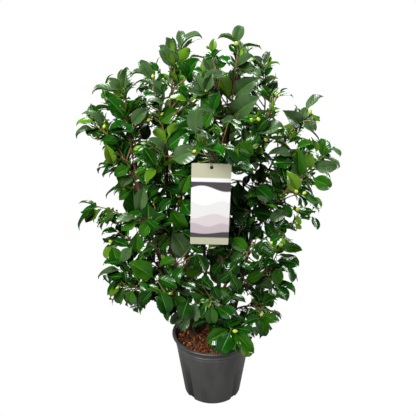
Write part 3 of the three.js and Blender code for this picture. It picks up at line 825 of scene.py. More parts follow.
# How far round the tag's outline, and how far before it, nothing may stand
TAG_MARGIN = 1.5
TAG_VIEW_DEPTH = 130.0
LEADERS = (
    # mass, share of its main twig where the leader leaves it, where its tip is seen, the tip's y
    ("crown_tall_stem", 0.8, (238, 45), -12),
    ("crown_left_stem", 0.8, (181, 46), -14),
    ("crown_left_stem", 0.5, (187, 79), -20),
    ("right_arm", 0.4, (297, 150), -40),
    ("inner_right", 0.8, (240, 180), -80),
    ("crown_front", 0.6, (212, 51), -60),
    ("crown_right_stem", 0.8, (265, 63), 30),
    ("left_top", 0.75, (103, 129), -24),
    ("left_top", 0.8, (94, 125), -26),
    ("left_top", 0.15, (114, 165), -20),
    ("back_left", 0.1, (122, 187), 40),
    ("left_middle", 0.7, (96, 206), -26),
    ("left_low", 0.7, (112, 246), -6),
    ("left_low", 0.6, (119, 233), -6),
    ("low_left", 0.4, (124, 274), -50),
    ("right_arm", 0.2, (277, 187), -46),
    ("right_arm", 0.25, (287, 189), -56),
    ("right_arm", 0.35, (310, 178), -60),
    ("right_arm", 0.15, (299, 194), -80),
    ("right_arm", 0.8, (328, 152), -30),
    ("right_low", 0.6, (279, 247), -30),
    ("right_middle", 0.4, (284, 216), -60),
    ("low_right", 0.8, (262, 314), -50),
    ("back_top_right", 0.7, (275, 96), 120),
    ("left_front_top", 0.5, (168, 137), -130),
    ("crown_back_stem", 0.5, (205, 92), 120),
    ("inner_front", 0.1, (223, 264), -50),
    ("front_right", 0.1, (230, 274), -84),
    ("front_low", 0.25, (212, 284), -70),
    ("front_low", 0.2, (231, 296), -50),
    ("front_left", 0.2, (197, 253), -60),
    ("low_left_front", 0.15, (190, 320), -50),
    ("crown_front", 0.75, (222, 64), -50),
)
# Where the sky shows between the shoots: the middle of each gap as it is seen, and its radius
OPEN_SKY = (
    (134, 93, 5), (149, 97, 3), (154, 108, 3), (157, 117, 2), (154, 134, 5), (168, 90, 3), (186, 81, 3),
    (197, 65, 4), (200, 103, 3), (224, 99, 2.5), (217, 122, 2), (242, 122, 2), (226, 67, 5), (250, 71, 5),
    (263, 104, 6), (274, 149, 7), (293, 146, 3), (314, 152, 3), (307, 170, 2.5), (319, 176, 4.5),
    (291, 199, 5), (288, 216, 4), (235, 174, 4), (244, 177, 4.5), (274, 181, 3), (266, 165, 2.5),
    (237, 230, 3), (251, 253, 4),
    (255, 258, 3), (249, 264, 3), (276, 259, 3), (224, 284, 3), (246, 300, 5), (239, 306, 4), (252, 320, 2.5),
    (180, 262, 2.5), (195, 250, 2), (121, 250, 5), (124, 270, 3.5), (132, 232, 3),
    (154, 50, 9), (112, 66, 8), (96, 76, 9), (95, 99, 6), (86, 152, 14), (80, 138, 7), (98, 184, 9),
    (113, 201, 6), (122, 205, 5), (90, 232, 9), (93, 258, 7), (98, 290, 8), (122, 320, 12), (142, 325, 11),
    (152, 318, 6), (162, 327, 7), (104, 312, 10), (228, 51, 4), (222, 26, 8), (246, 36, 5), (252, 52, 3),
    (160, 88, 3), (206, 28, 8), (199, 48, 6), (257, 33, 10), (278, 48, 8), (286, 72, 9), (298, 76, 12),
    (284, 82, 6), (300, 98, 8), (288, 107, 5), (281, 101, 3), (328, 113, 8), (322, 128, 6), (306, 134, 4),
    (331, 133, 7), (349, 150, 6), (349, 168, 6), (343, 187, 8), (332, 201, 9), (324, 219, 7), (303, 239, 9),
    (292, 143, 3), (323, 222, 5), (291, 234, 4), (308, 275, 8), (303, 291, 7), (282, 303, 5), (287, 306, 9),
    (285, 330, 10), (271, 346, 7), (262, 352, 5), (131, 62, 6), (162, 64, 4),
    (165, 70, 4), (284, 118, 7), (112, 181, 4), (109, 230, 4), (122, 210, 4), (308, 226, 6), (290, 298, 4),
    (285, 277, 4), (290, 283, 4), (152, 306, 4), (157, 312, 4), (335, 155, 3), (112, 115, 4), (316, 191, 4),
    (272, 74, 3), (137, 75, 4), (280, 104, 4), (102, 202, 4), (256, 342, 4), (315, 111, 3),
)
tag_low, tag_high = (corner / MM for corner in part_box("tag"))
UP = Vector((0, 0, 1))


def chance(mass, twig, leaf, draw):
    """A repeatable number from 0 to 1. The last key tells the draws for one twig or leaf apart."""
    wave = math.sin(mass * 12.9898 + twig * 78.233 + leaf * 37.719 + draw * 4.581) * 43758.5453
    return wave - math.floor(wave)


def round_twig(along, angle):
    """The direction that stands off a twig at an angle round it."""
    level = along.cross(UP if abs(along.z) < STEEP else Vector((0, 1, 0))).normalized()
    return level * math.cos(angle) + level.cross(along) * math.sin(angle)


middles = [at(mass[2], MASS_MIDDLE) for mass in masses]


def in_own_space(number, point, gap=SPACE_GAP):
    """Whether a point is nearer to its own mass than to any other by a gap, which may be below 0."""
    own = middles[number]
    lead = (point - own).length_squared
    return all(
        other is own or ((point - other).length_squared - lead) / (2 * (other - own).length) > gap
        for other in middles
    )


tag_corners = (Vector((tag_low.x, tag_low.y, tag_high.z)), Vector((tag_high.x, tag_low.y, tag_low.z)))
TAG_VIEW = (*seen_at(tag_corners[0]), *seen_at(tag_corners[1]))


def against_sky(point):
    across, down = seen_at(point)
    return any((across - x) ** 2 + (down - y) ** 2 < radius ** 2 for x, y, radius in OPEN_SKY)


def in_the_way(point):
    """Whether a point is in the pot or close over it, or hides the mulch or the tag from in front."""
    if point.z < POT_HEIGHT + POT_MARGIN and math.hypot(point.x, point.y) < RIM_RADIUS + POT_MARGIN:
        return True
    across, down = seen_at(point)
    left, right, top, foot = MULCH_VIEW
    if left < across < right and top < down < foot and point.y < 0:
        return True
    if not -TAG_MARGIN < tag_low.y - point.y < TAG_VIEW_DEPTH:
        return False
    left, top, right, foot = TAG_VIEW
    return left - TAG_MARGIN < across < right + TAG_MARGIN and top - TAG_MARGIN < down < foot + TAG_MARGIN


def side_twig(main, share, mass, twig, attempt):
    """One try of a side twig that leaves the main one at a share of its length."""
    along = heading(main, share)
    root = at(main, share)
    turn = twig * GOLDEN_ANGLE + mass * MASS_TURN + chance(mass, twig, 0, 5) + attempt * RETRIED_TURN
    lean = mix(*SIDE_TWIG_LEAN, chance(mass, twig, 0, 6))
    away = along * math.cos(lean) + round_twig(along, turn) * math.sin(lean)
    length = SIDE_TWIG_LENGTH * mix(*SIDE_TWIG_TAPER, share)
    length *= mix(*SIDE_TWIG_VARIES, chance(mass, twig, 0, 7))
    length *= 1 - RETRIED_SHORTER * attempt
    middle = root + away * length * 0.5
    end = root + away * length + UP * length * SIDE_TWIG_RISE
    return bent_line(root, middle, end, max(int(length / TWIG_STEP), FEWEST_TWIG_STEPS))


def twig_fits(mass, line):
    inside = all(in_own_space(mass, at(line, share)) for share in KEPT_SHARES)
    open_sky = any(against_sky(at(line, share)) for share in CLEAR_SHARES)
    return inside and not open_sky and not any(in_the_way(point) for point in line[1:])


# A twig is the number of its mass, its own number in it (0 for the main twig), its line, its radius at its
# start, and the share of it that is bare
twigs = []
for number, (name, stem, main, radius, bare) in enumerate(masses):
    twigs.append((number, 0, main, radius, bare))
    for row, (mass, share, tip_seen, tip_y) in enumerate(LEADERS):
        if mass == name:
            root = at(main, share)
            tip = placed(*tip_seen, tip_y)
            bend = root + heading(main, share) * (tip - root).length * 0.5
            line = bent_line(root, bend, tip, LEADER_POINTS)
            twigs.append((number, FIRST_LEADER + row, line, LEADER_RADIUS, LEADER_BARE))
    leafy = length_of(main) * (1 - bare)
    count = max(FEWEST_SIDE_TWIGS, round(leafy / SIDE_TWIG_SPACING))
    for twig in range(1, count + 1):
        share = mix(bare + FIRST_SIDE_TWIG, LAST_SIDE_TWIG, (twig - 1) / (count - 1))
        for attempt in range(TWIG_TRIES):
            line = side_twig(main, share, number, twig, attempt)
            if twig_fits(number, line):
                twigs.append((number, twig, line, SIDE_TWIG_RADIUS, SIDE_TWIG_BARE))
                break


# Leaves
# Leathery and evergreen, with a short stalk, a blunt oval blade toothed at its edge, and a drawn-out tip.
# The top is dark and glossy with a pale rib, the underside matt and yellow-green, the newest leaves bright.
# Many leaves high in the crown are given a pale grey-green tint, which is a painted sheen of light on their
# tops.
LEAF_LENGTH = 78.0
LEAF_ROWS = (0.06, 0.15, 0.26, 0.38, 0.5, 0.62, 0.73, 0.82, 0.89, 0.945)
LEAF_COLUMNS = (-1, -0.56, -0.06, 0, 0.06, 0.56, 1)
# The faces on either side of the rib, and a few rows and columns that give a blade's rough shape
RIB_COLUMNS = (2, 3)
ROUGH_ROWS = (1, 3, 5, 7, 9)
ROUGH_COLUMNS = (0, 3, 6)
LEAF_OUTLINE = ((0, 0.06), (0.06, 0.34), (0.15, 0.68), (0.26, 0.92), (0.38, 1.0), (0.5, 0.96), (0.62, 0.81),
                (0.73, 0.58), (0.82, 0.34), (0.89, 0.17), (0.945, 0.08), (1, 0))
BLADE_STEPS = 24
TOOTH = 0.022
TOOTH_GAP = 0.4
ROW_SLANT = 0.05
ARCH_GROWTH = 1.5
CURL_GROWTH = 5
EDGE_DROOP = 0.18
EDGE_WAVES = 9
RIB_DEPTH = 0.9
RIB_TAPER = 1.15
RIB_SINK = 0.3
RIB_HALF_WIDTH = 0.01
VEIN_RELIEF = 0.25
VEIN_COLUMN = 0.56
VEIN_SPREAD = 0.2
VEIN_PAIRS = 7
VEIN_SLANT = 0.5
VEIN_BUMP = 0.2
LEAF_SHINE = 0.42
LEAF_SHARPNESS = 58
STALK_LENGTH = 8.0
STALK_RADIUS = 1.1
STALK_TAPER = 0.7
STALK_SAG = 0.6
STALK_SIDES = 4
STALK_OVERLAP = 0.12
# How leaves vary: width by length, fold, arch, curl, twist and wave of the edge, each from least to most.
# A leaf of the plant's habit takes these draws for them, and a leaf that is seen whole is a little fuller.
HABIT_SHAPE = ((0.50, 0.64), (0.15, 0.5), (0.1, 0.6), (0.1, 1.1), (-0.35, 0.35), (0.02, 0.09))
HABIT_DRAWS = (12, 5, 6, 11, 7, 8)
SHOWN_SHAPE = ((0.56, 0.72), (0.35, 0.8), (0.15, 0.6), (0.6, 1.7), (-0.5, 0.5), (0.05, 0.15))
SHOWN_STRETCH = 1.08
SHOWN_LIFT = 0.12
YOUNG_WIDTH = 0.72
# How leaves of the plant's habit stand on their twig. Pairs are for low and high in the crown.
MAIN_LEAF_SPACING = 8.5
SIDE_LEAF_SPACING = 8.0
FEWEST_LEAVES = 4
FIRST_LEAF = 0.04
LAST_LEAF = 0.985
TURN_BY_TWIG = 1.7
LOW_CROWN = 450
CROWN_RISE = 420
SPREAD_AT_FOOT = 1.25
SPREAD_AT_TIP = (0.75, 0.6)
SPREAD_VARIES = 0.4
DROOP = (-0.55, 0.1)
DROOP_VARIES = 0.6
ASIDE_VARIES = 0.5
LIGHT_FROM_OUTSIDE = 0.75
LIGHT_FROM_ABOVE = 0.9
LIGHT_VARIES = 0.9
LENGTH_BY_AGE = (0.8, 1.08)
LENGTH_VARIES = (0.76, 1.14)
SIDE_TWIG_AGE = 0.5
LEAF_TRIES = 14
NEXT_TRY = 11
TRY_TURN = 1.1
TRY_SHORTER = 0.06
# How far leaves may reach over into the next mass's space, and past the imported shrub's box
LEAF_SPACE_GAP = -34
BOX_MARGIN = 6
# Later leaves that fill the crown, smaller ones at the later tries
FILL_REACH = 8
FILL_SHARE = 0.14
FILL_SPACING = 7.0
FEWEST_FILLING = 3
FIRST_FILLING = 200
FILL_TRIES = 16
FILL_TURN_BY_TWIG = 2.9
FILL_BARE_SHARE = 0.5
LAST_FILLING = 0.98
FILL_LENGTH = (0.9, 0.6)
FILL_SPACE_GAP = -60
# The share of filling leaves that take the darkest tint, and the rest the next darkest: painted shade for the
# crown's inside.
FILL_SHADE_SHARE = 0.6
# Wood that is seen between the leaves: a stem, twig or bough, and the shares of it between which it is seen
WOOD_BAND = 1.6
SEEN_STEM_STEPS = 12
SEEN_SHOOT_STEPS = 8
SEEN_STEMS = (("left", 0.3, 0.52), ("left", 0.56, 0.76), ("outer_left", 0.27, 0.45))
SEEN_TWIGS = (("crown_tall_stem", 0.05, 0.95), ("crown_outer_left_stem", 0.0, 0.8), ("left_top", 0.0, 1.0),
              ("crown_left", 0.6, 1.0), ("crown_left_stem", 0.4, 0.95))
SEEN_BOUGHS = (("right_arm", 0.5, 1.0),)
# A leaf seen whole keeps so much of its blade's width in view, between these shares of its length
BAND_SHARE = 0.6
BAND_ENDS = (0.1, 0.85)
BAND_BEFORE = 3
LEAF_TINTS = {
    # The darkest tint is the leaves' own dark green, and it is also given to leaves deep in the crown as
    # painted shade.
    "leaf_dark": ((0.003, 0.024, 0.001), (0.006, 0.038, 0.002), 0.15),
    "leaf_deep": ((0.003, 0.040, 0.001), (0.006, 0.058, 0.002), 0.15),
    "leaf_mid": ((0.011, 0.062, 0.002), (0.021, 0.087, 0.003), 0.15),
    "leaf_fresh": ((0.036, 0.105, 0.003), (0.058, 0.132, 0.004), 0.19),
    "leaf_young": ((0.066, 0.150, 0.004), (0.105, 0.200, 0.008), 0.34),
    # The pale grey-green tint is a painted sheen, given to leaves that would catch the light from above.
    "leaf_painted_sheen": ((0.027, 0.060, 0.017), (0.046, 0.088, 0.031), 0.27),
}
# The slots of a leaf piece: the tints in their order, the rib and the underside
DARK, DEEP, MID, FRESH, YOUNG, PAINTED_SHEEN, RIB, UNDER = range(8)
# How many leaves of the plant's habit have one of the first three tints or a darker one
TINT_SHARES = (0.3, 0.66, 0.94)
TINT_FOOT = 200
TINT_RISE = 700
BRIGHTER_UPWARDS = 0.2
BRIGHTER_OUTWARDS = 0.1
YOUNG_FROM = 0.85
YOUNG_SHARE = 0.07
# Above this share of the crown's height, more and more leaves take the grey-green painted sheen tint.
PAINTED_SHEEN_FROM = 0.6
PAINTED_SHEEN_GROWTH = 1.1
# Leaves that are seen whole, by mass: where the root and the tip are seen, the y of each, how far the top
# faces the eye (1), up (0) or away (-1), and the tint
SHOWN_LEAVES = {
    "crown_tall_stem": (
        (237, 43, 241, 23, -12, -4, 0.2, PAINTED_SHEEN), (236, 43, 219, 34, -12, -30, 0.05, PAINTED_SHEEN),
        (241, 47, 262, 46, -12, -24, 0.1, PAINTED_SHEEN), (236, 53, 229, 43, -12, -6, 0.5, DEEP),
        (237, 66, 254, 55, -12, -30, 0.6, PAINTED_SHEEN), (236, 72, 255, 66, -12, -44, 0.6, PAINTED_SHEEN),
        (234, 95, 257, 78, -12, -50, 0.85, PAINTED_SHEEN), (232, 116, 257, 98, -14, -60, 0.95, PAINTED_SHEEN),
        (230, 101, 217, 69, -12, -40, -0.8, MID),
    ),
    "crown_front": (
        (212, 52, 214, 38, -60, -62, 0.9, YOUNG), (212, 57, 218, 49, -60, -66, 0.7, DEEP),
        (213, 71, 203, 55, -60, -70, 0.7, PAINTED_SHEEN), (204, 58, 189, 56, -60, -64, 0.0, PAINTED_SHEEN),
    ),
    "crown_left_stem": (
        (176, 67, 159, 44, -14, -20, 0.8, PAINTED_SHEEN), (181, 46, 181, 28, -14, 0, 0.9, PAINTED_SHEEN),
        (182, 43, 202, 32, -14, -18, 0.3, PAINTED_SHEEN), (176, 50, 166, 37, -14, -20, 0.8, PAINTED_SHEEN),
        (175, 53, 171, 40, -20, -34, -0.8, MID), (175, 66, 166, 53, -20, -40, -0.6, MID),
        (178, 63, 190, 47, -16, -34, -0.5, MID), (186, 77, 198, 57, -24, -30, 0.5, DEEP),
        (178, 82, 167, 71, -20, -40, -0.6, MID),
    ),
    "crown_left": (
        (154, 79, 138, 59, 14, 8, 0.85, PAINTED_SHEEN), (150, 77, 131, 71, 14, 8, 0.0, PAINTED_SHEEN),
        (157, 86, 165, 73, 14, 20, 0.5, DEEP), (159, 90, 141, 80, 14, 0, 0.35, PAINTED_SHEEN),
        (148, 86, 134, 90, 12, 4, 0.0, PAINTED_SHEEN), (162, 96, 142, 93, 14, -6, 0.1, DEEP),
    ),
    "crown_outer_left_stem": (
        (121, 94, 91, 88, -16, -30, 0.05, PAINTED_SHEEN), (122, 92, 108, 77, -14, -20, 0.6, PAINTED_SHEEN),
        (124, 88, 127, 66, -16, -10, 0.75, PAINTED_SHEEN), (123, 92, 116, 82, -18, -40, -0.7, MID),
        (124, 100, 134, 83, -16, -16, 0.1, PAINTED_SHEEN), (126, 118, 107, 97, -14, -34, 0.9, DEEP),
        (126, 112, 119, 101, -16, -40, -0.6, MID), (128, 124, 134, 99, -16, -20, 0.1, DEEP),
    ),
    "left_top": (
        (103, 127, 84, 109, -24, -30, 0.2, PAINTED_SHEEN), (93, 123, 75, 122, -24, -34, 0.2, FRESH),
        (94, 129, 73, 134, -24, -30, 0.0, PAINTED_SHEEN), (107, 128, 99, 116, -24, -10, 0.6, PAINTED_SHEEN),
        (108, 132, 104, 119, -26, -44, -0.6, MID), (110, 130, 137, 131, -24, -36, 0.5, DEEP),
        (118, 141, 101, 140, -22, -44, 0.7, DEEP), (113, 163, 106, 145, -22, -40, 0.9, YOUNG),
        (113, 164, 97, 164, -20, -30, 0.0, PAINTED_SHEEN), (113, 166, 101, 176, -20, -30, 0.1, DEEP),
    ),
    "back_left": (
        (121, 186, 104, 197, 40, 30, -0.1, DEEP),
    ),
    "left_middle": (
        (96, 206, 79, 201, -26, -34, 0.1, PAINTED_SHEEN), (100, 210, 84, 222, -26, -40, 0.5, FRESH),
        (113, 211, 105, 224, -26, -44, 0.5, MID), (127, 222, 110, 215, -26, -30, 0.4, DEEP),
    ),
    "left_low": (
        (118, 232, 101, 233, -6, -16, 0.1, DEEP), (112, 246, 103, 259, -6, -16, 0.8, YOUNG),
        (112, 246, 119, 268, -6, -30, 0.85, MID),
    ),
    "low_left": (
        (120, 270, 96, 276, -50, -56, 0.1, PAINTED_SHEEN), (124, 276, 103, 279, -50, -66, 0.45, DEEP),
        (122, 287, 106, 299, -56, -64, 0.3, FRESH), (125, 288, 116, 306, -60, -66, 0.3, MID),
        (133, 290, 128, 306, -60, -66, 0.4, MID),
    ),
    "crown_right_stem": (
        (264, 64, 270, 50, 30, 34, 0.4, PAINTED_SHEEN), (262, 64, 253, 56, 30, 20, 0.5, PAINTED_SHEEN),
        (266, 66, 280, 62, 30, 24, -0.1, DEEP), (264, 76, 255, 68, 28, 14, 0.6, DEEP),
        (265, 76, 272, 67, 28, 18, 0.6, DEEP), (262, 86, 277, 77, 26, 6, 0.6, PAINTED_SHEEN),
    ),
    "back_top_right": (
        (275, 97, 294, 95, 120, 116, 0.0, PAINTED_SHEEN),
    ),
    "right_top": (
        (306, 111, 322, 95, -16, -20, 0.2, PAINTED_SHEEN), (300, 125, 285, 111, -14, -40, 0.8, PAINTED_SHEEN),
        (301, 121, 307, 106, -14, -10, 0.6, PAINTED_SHEEN), (303, 119, 317, 131, -14, -34, 0.8, PAINTED_SHEEN),
    ),
    "right_arm": (
        (323, 157, 326, 138, -30, -26, 0.9, MID), (330, 149, 343, 155, -30, -34, 0.1, PAINTED_SHEEN),
        (315, 168, 339, 166, -36, -60, 0.9, PAINTED_SHEEN), (328, 159, 341, 167, -30, -24, 0.2, PAINTED_SHEEN),
        (299, 176, 298, 149, -60, -80, 0.95, MID), (311, 171, 309, 151, -50, -54, -0.7, MID),
        (297, 191, 288, 172, -80, -96, 0.9, YOUNG), (312, 179, 333, 188, -60, -70, 0.7, MID),
        (303, 195, 319, 208, -80, -86, 0.3, DEEP),
    ),
    "right_low": (
        (279, 248, 303, 249, -30, -44, 0.7, MID), (277, 261, 301, 263, -30, -44, 0.45, DEEP),
        (287, 267, 294, 284, -40, -46, 0.2, DEEP),
    ),
    "low_right": (
        (262, 315, 278, 321, -50, -60, 0.7, MID), (262, 317, 264, 338, -50, -66, 0.8, MID),
    ),
    "above_tag": (
        (210, 150, 223, 153, -216, -270, 0.3, DEEP), (209, 150, 197, 147, -216, -264, 0.2, MID),
    ),
    "over_rim": (
        (228, 330, 205, 343, -128, -150, 0.95, MID), (230, 332, 219, 356, -134, -160, 0.95, DEEP),
        (234, 331, 254, 353, -134, -160, 0.95, MID), (234, 328, 255, 331, -130, -140, 0.6, DEEP),
    ),
}
# What is seen at a place grows on wood that is seen this close to it. An inner leaf starts a little before
# its wood, and points forward at most so far.
ROOT_REACH = 7.0
ROOT_SLACK = 0.1
ROOT_BEFORE = 3
INNER_FORWARD = 35.0
# Inner leaves that are seen whole, each on the wood nearest the eye at its root: where the root and the tip
# are seen, how far the top faces the eye, and the tint
# Many inner leaves low in the middle take the darkest tint as painted shade under the crown, beside their own
# dark green.
INNER_LEAVES = (
    (206, 94, 187, 91, 0.6, PAINTED_SHEEN), (203, 92, 193, 72, 0.85, PAINTED_SHEEN), (205, 91, 212, 73, 0.8, PAINTED_SHEEN),
    (225, 77, 204, 74, 0.4, PAINTED_SHEEN), (203, 72, 190, 70, 0.5, DEEP), (187, 77, 177, 62, 0.5, DEEP),
    (187, 101, 168, 99, 0.4, FRESH), (188, 98, 178, 86, 0.6, DEEP), (165, 104, 147, 100, 0.2, PAINTED_SHEEN),
    (160, 122, 178, 109, 0.8, MID), (132, 124, 147, 108, 0.7, PAINTED_SHEEN), (149, 125, 142, 141, 0.9, PAINTED_SHEEN),
    (166, 142, 152, 127, -0.5, MID), (169, 137, 177, 122, -0.4, MID), (167, 148, 190, 129, 0.8, DEEP),
    (212, 113, 203, 129, 0.7, MID), (212, 110, 219, 92, 0.8, DEEP), (237, 130, 219, 142, 0.7, PAINTED_SHEEN),
    (236, 119, 221, 122, 0.5, PAINTED_SHEEN), (244, 126, 244, 142, 0.9, PAINTED_SHEEN), (240, 142, 253, 158, 0.8, MID),
    (200, 150, 217, 140, 0.4, DEEP), (172, 159, 200, 150, 0.7, PAINTED_SHEEN), (165, 166, 184, 160, 0.1, DEEP),
    (163, 150, 148, 138, 0.5, PAINTED_SHEEN), (143, 147, 157, 169, 0.7, DARK), (120, 147, 102, 141, 0.8, MID),
    (130, 167, 113, 176, 0.6, MID), (134, 177, 120, 187, 0.6, PAINTED_SHEEN), (133, 188, 119, 200, 0.7, MID),
    (133, 189, 136, 219, 0.8, DARK), (144, 187, 139, 213, 0.5, PAINTED_SHEEN), (161, 186, 145, 198, 0.8, DEEP),
    (148, 203, 149, 231, 0.95, DARK), (172, 198, 158, 211, 0.8, DEEP), (169, 208, 187, 232, 0.9, MID),
    (165, 187, 182, 192, 0.6, DEEP), (189, 176, 180, 194, 0.8, MID), (135, 217, 114, 222, 0.4, PAINTED_SHEEN),
    (137, 221, 120, 230, 0.6, MID), (258, 86, 271, 95, 0.6, DARK), (255, 117, 279, 108, -0.35, MID),
    (258, 130, 268, 117, 0.6, DARK), (258, 134, 284, 124, 0.4, PAINTED_SHEEN), (268, 136, 285, 131, 0.2, MID),
    (292, 156, 268, 153, 0.45, PAINTED_SHEEN), (293, 163, 270, 162, 0.6, DEEP), (288, 143, 302, 138, 0.4, DEEP),
    (297, 147, 311, 142, 0.5, MID), (316, 152, 311, 137, 0.3, DEEP), (262, 166, 259, 185, 0.8, MID),
    (255, 186, 273, 202, 0.6, DEEP), (281, 165, 287, 187, 0.5, DARK), (295, 193, 284, 182, -0.3, MID),
    (238, 181, 239, 208, 0.7, DARK), (272, 216, 250, 211, 0.8, DEEP), (285, 211, 269, 221, 0.7, PAINTED_SHEEN),
    (294, 210, 309, 214, 0.6, DARK), (249, 213, 236, 220, 0.6, DEEP), (264, 223, 279, 241, 0.7, DEEP),
    (257, 226, 262, 241, 0.5, DEEP), (225, 148, 238, 167, 0.8, DEEP), (237, 166, 254, 171, 0.4, DEEP),
    (250, 175, 243, 188, 0.5, DARK), (153, 277, 129, 262, 0.8, MID), (132, 247, 121, 263, 0.6, PAINTED_SHEEN),
    (155, 247, 139, 254, 0.6, DARK), (137, 232, 137, 255, 0.85, MID), (113, 240, 129, 246, 0.5, DEEP),
    (171, 236, 158, 250, 0.8, MID), (172, 232, 189, 257, 0.9, PAINTED_SHEEN), (207, 264, 184, 259, 0.7, MID),
    (205, 268, 184, 275, 0.8, FRESH), (183, 267, 173, 280, 0.7, DEEP), (177, 260, 159, 265, 0.4, MID),
    (153, 290, 138, 306, 0.4, DARK), (160, 291, 168, 316, 0.7, DEEP), (173, 294, 187, 311, 0.9, MID),
    (186, 312, 169, 324, 0.7, PAINTED_SHEEN), (176, 287, 191, 295, 0.6, PAINTED_SHEEN), (199, 303, 191, 292, 0.6, MID),
    (196, 303, 193, 322, 0.9, PAINTED_SHEEN), (158, 278, 177, 287, 0.3, DEEP), (209, 322, 191, 325, 0.4, DARK),
    (231, 238, 248, 251, 0.8, MID), (210, 263, 223, 285, 0.8, MID), (213, 256, 236, 268, 0.6, DEEP),
    (241, 282, 235, 299, 0.8, DEEP), (247, 283, 275, 287, 0.4, PAINTED_SHEEN), (247, 281, 263, 273, 0.5, MID),
    (267, 292, 270, 309, 0.8, MID), (277, 262, 263, 267, 0.5, DEEP), (281, 268, 275, 286, 0.6, MID),
    (272, 284, 298, 292, 0.3, DEEP), (275, 286, 289, 300, 0.2, DEEP), (256, 310, 243, 316, 0.6, DARK),
    (217, 307, 234, 318, 0.8, DEEP), (163, 95, 152, 80, 0.6, PAINTED_SHEEN), (217, 58, 231, 62, 0.2, DEEP),
    (240, 70, 262, 74, 0.2, PAINTED_SHEEN), (288, 150, 275, 141, 0.3, PAINTED_SHEEN), (277, 187, 268, 171, 0.6, DARK),
    (262, 226, 250, 240, 0.6, DEEP), (262, 240, 256, 255, 0.6, DARK), (270, 243, 283, 235, 0.7, DEEP),
    (153, 240, 141, 229, 0.6, DARK), (172, 236, 160, 225, 0.5, DARK), (120, 262, 103, 263, 0.3, DEEP),
    (238, 262, 226, 275, 0.5, DARK), (250, 268, 236, 277, 0.5, DARK), (228, 250, 213, 251, 0.3, DARK),
    (244, 254, 231, 262, 0.5, DARK), (216, 248, 230, 258, 0.6, DARK), (224, 262, 240, 277, 0.6, DEEP),
    (240, 262, 255, 269, 0.6, DARK), (259, 262, 248, 273, 0.5, DARK), (262, 250, 273, 258, 0.6, DEEP),
    (251, 291, 262, 301, 0.6, DARK), (213, 285, 203, 297, 0.6, DARK), (202, 279, 214, 290, 0.6, DARK),
    (232, 212, 246, 226, 0.6, DARK), (246, 322, 261, 317, 0.6, DARK), (219, 68, 227, 56, 0.6, DEEP),
    (190, 246, 204, 253, 0.7, DARK), (207, 255, 218, 268, 0.7, DARK), (150, 101, 160, 109, 0.5, DARK),
    (231, 171, 247, 171, 0.6, DARK), (283, 204, 291, 218, 0.7, DEEP), (188, 300, 181, 320, 0.7, DARK),
    (190, 318, 180, 331, 0.6, PAINTED_SHEEN), (222, 262, 212, 276, 0.7, DARK), (223, 266, 226, 286, 0.8, DEEP),
    (230, 274, 216, 283, 0.6, DARK), (231, 276, 240, 292, 0.7, DARK), (212, 284, 201, 289, 0.5, DARK),
    (213, 286, 219, 301, 0.8, DARK), (231, 296, 222, 306, 0.6, DARK), (231, 296, 246, 302, 0.5, DARK),
    (197, 253, 193, 267, 0.7, DEEP), (124, 270, 126, 283, 0.5, DARK), (252, 250, 259, 260, 0.5, DARK),
    (228, 240, 220, 252, 0.6, DARK), (197, 254, 207, 273, 0.7, DARK), (145, 219, 159, 231, 0.7, DEEP),
    (150, 222, 140, 238, 0.6, MID), (144, 218, 127, 213, 0.4, DEEP), (160, 226, 174, 221, 0.5, DARK),
    (153, 224, 163, 214, 0.5, DARK), (230, 121, 243, 128, 0.6, DARK), (120, 261, 129, 273, 0.6, DARK),
    (183, 290, 191, 304, 0.6, DARK), (187, 69, 191, 84, 0.7, DEEP), (166, 83, 163, 93, 0.6, DARK),
    (263, 306, 275, 297, 0.4, DARK), (109, 129, 122, 125, 0.4, DEEP), (103, 275, 111, 284, 0.4, DARK),
    (312, 217, 319, 230, 0.3, DARK), (211, 305, 212, 326, 0.9, MID), (243, 318, 222, 324, 0.5, DEEP),
    (222, 291, 229, 306, 0.6, PAINTED_SHEEN),
)
# Steps nearer or farther that a leaf seen whole may take to clear the others, and none where none helps
SHOWN_SHIFTS = (0, -5, 5, -10, 10, -15, 15, 0)
# A rough copy of the wood, for keeping blades out of it
ROUGH_WOOD_STEP = 20
FEWEST_ROUGH_STEPS = 2
ROUGH_TWIG_SIDES = 3
ROUGH_STEM_SIDES = 5
ROUGH_STEM_POINTS = 24
STEM_CLEARANCE = 1


def add_shape(shape, points, faces):
    """Adds the points and faces of one shape to those of its piece."""
    points += shape[0]
    faces += shape[1]


def leaf_grid():
    """Where each point of a leaf lies along and across it, whether it is under it, the faces and their slots.

    A face of the top has None for its slot, as it takes the tint of its leaf.
    """
    outline = np.interp(LEAF_ROWS, *zip(*LEAF_OUTLINE))
    columns = len(LEAF_COLUMNS)
    across = columns + 1
    along, side, under = [0.0], [0.0], [0.0]
    for row, share in enumerate(LEAF_ROWS):
        tooth = TOOTH if row % 2 else -TOOTH * TOOTH_GAP
        for column in LEAF_COLUMNS:
            along.append(share + ROW_SLANT * abs(column) * (1 - share))
            side.append(column * (outline[row] + (tooth if abs(column) == 1 else 0)))
            under.append(0.0)
        along.append(share)
        side.append(0.0)
        under.append(1.0)
    along.append(1.0)
    side.append(0.0)
    under.append(0.0)
    tip = len(along) - 1
    faces, slots = [], []

    def add(face, slot):
        faces.append(face)
        slots.append(slot)

    for row in range(len(LEAF_ROWS)):
        here = 1 + row * across
        ridge = here + columns
        at_root = row == 0
        at_tip = row == len(LEAF_ROWS) - 1
        for column in range(columns - 1):
            a, b = here + column, here + column + 1
            slot = RIB if column in RIB_COLUMNS else None
            if at_root:
                add((0, a, b), slot)
            add((a, tip, b) if at_tip else (a, a + across, b + across, b), slot)
        for a, b in ((here, ridge), (ridge, ridge - 1)):
            if at_root:
                add((0, b, a), UNDER)
            add((a, b, tip) if at_tip else (a, b, b + across, a + across), UNDER)
    return np.array(along), np.array(side), np.array(under), faces, slots


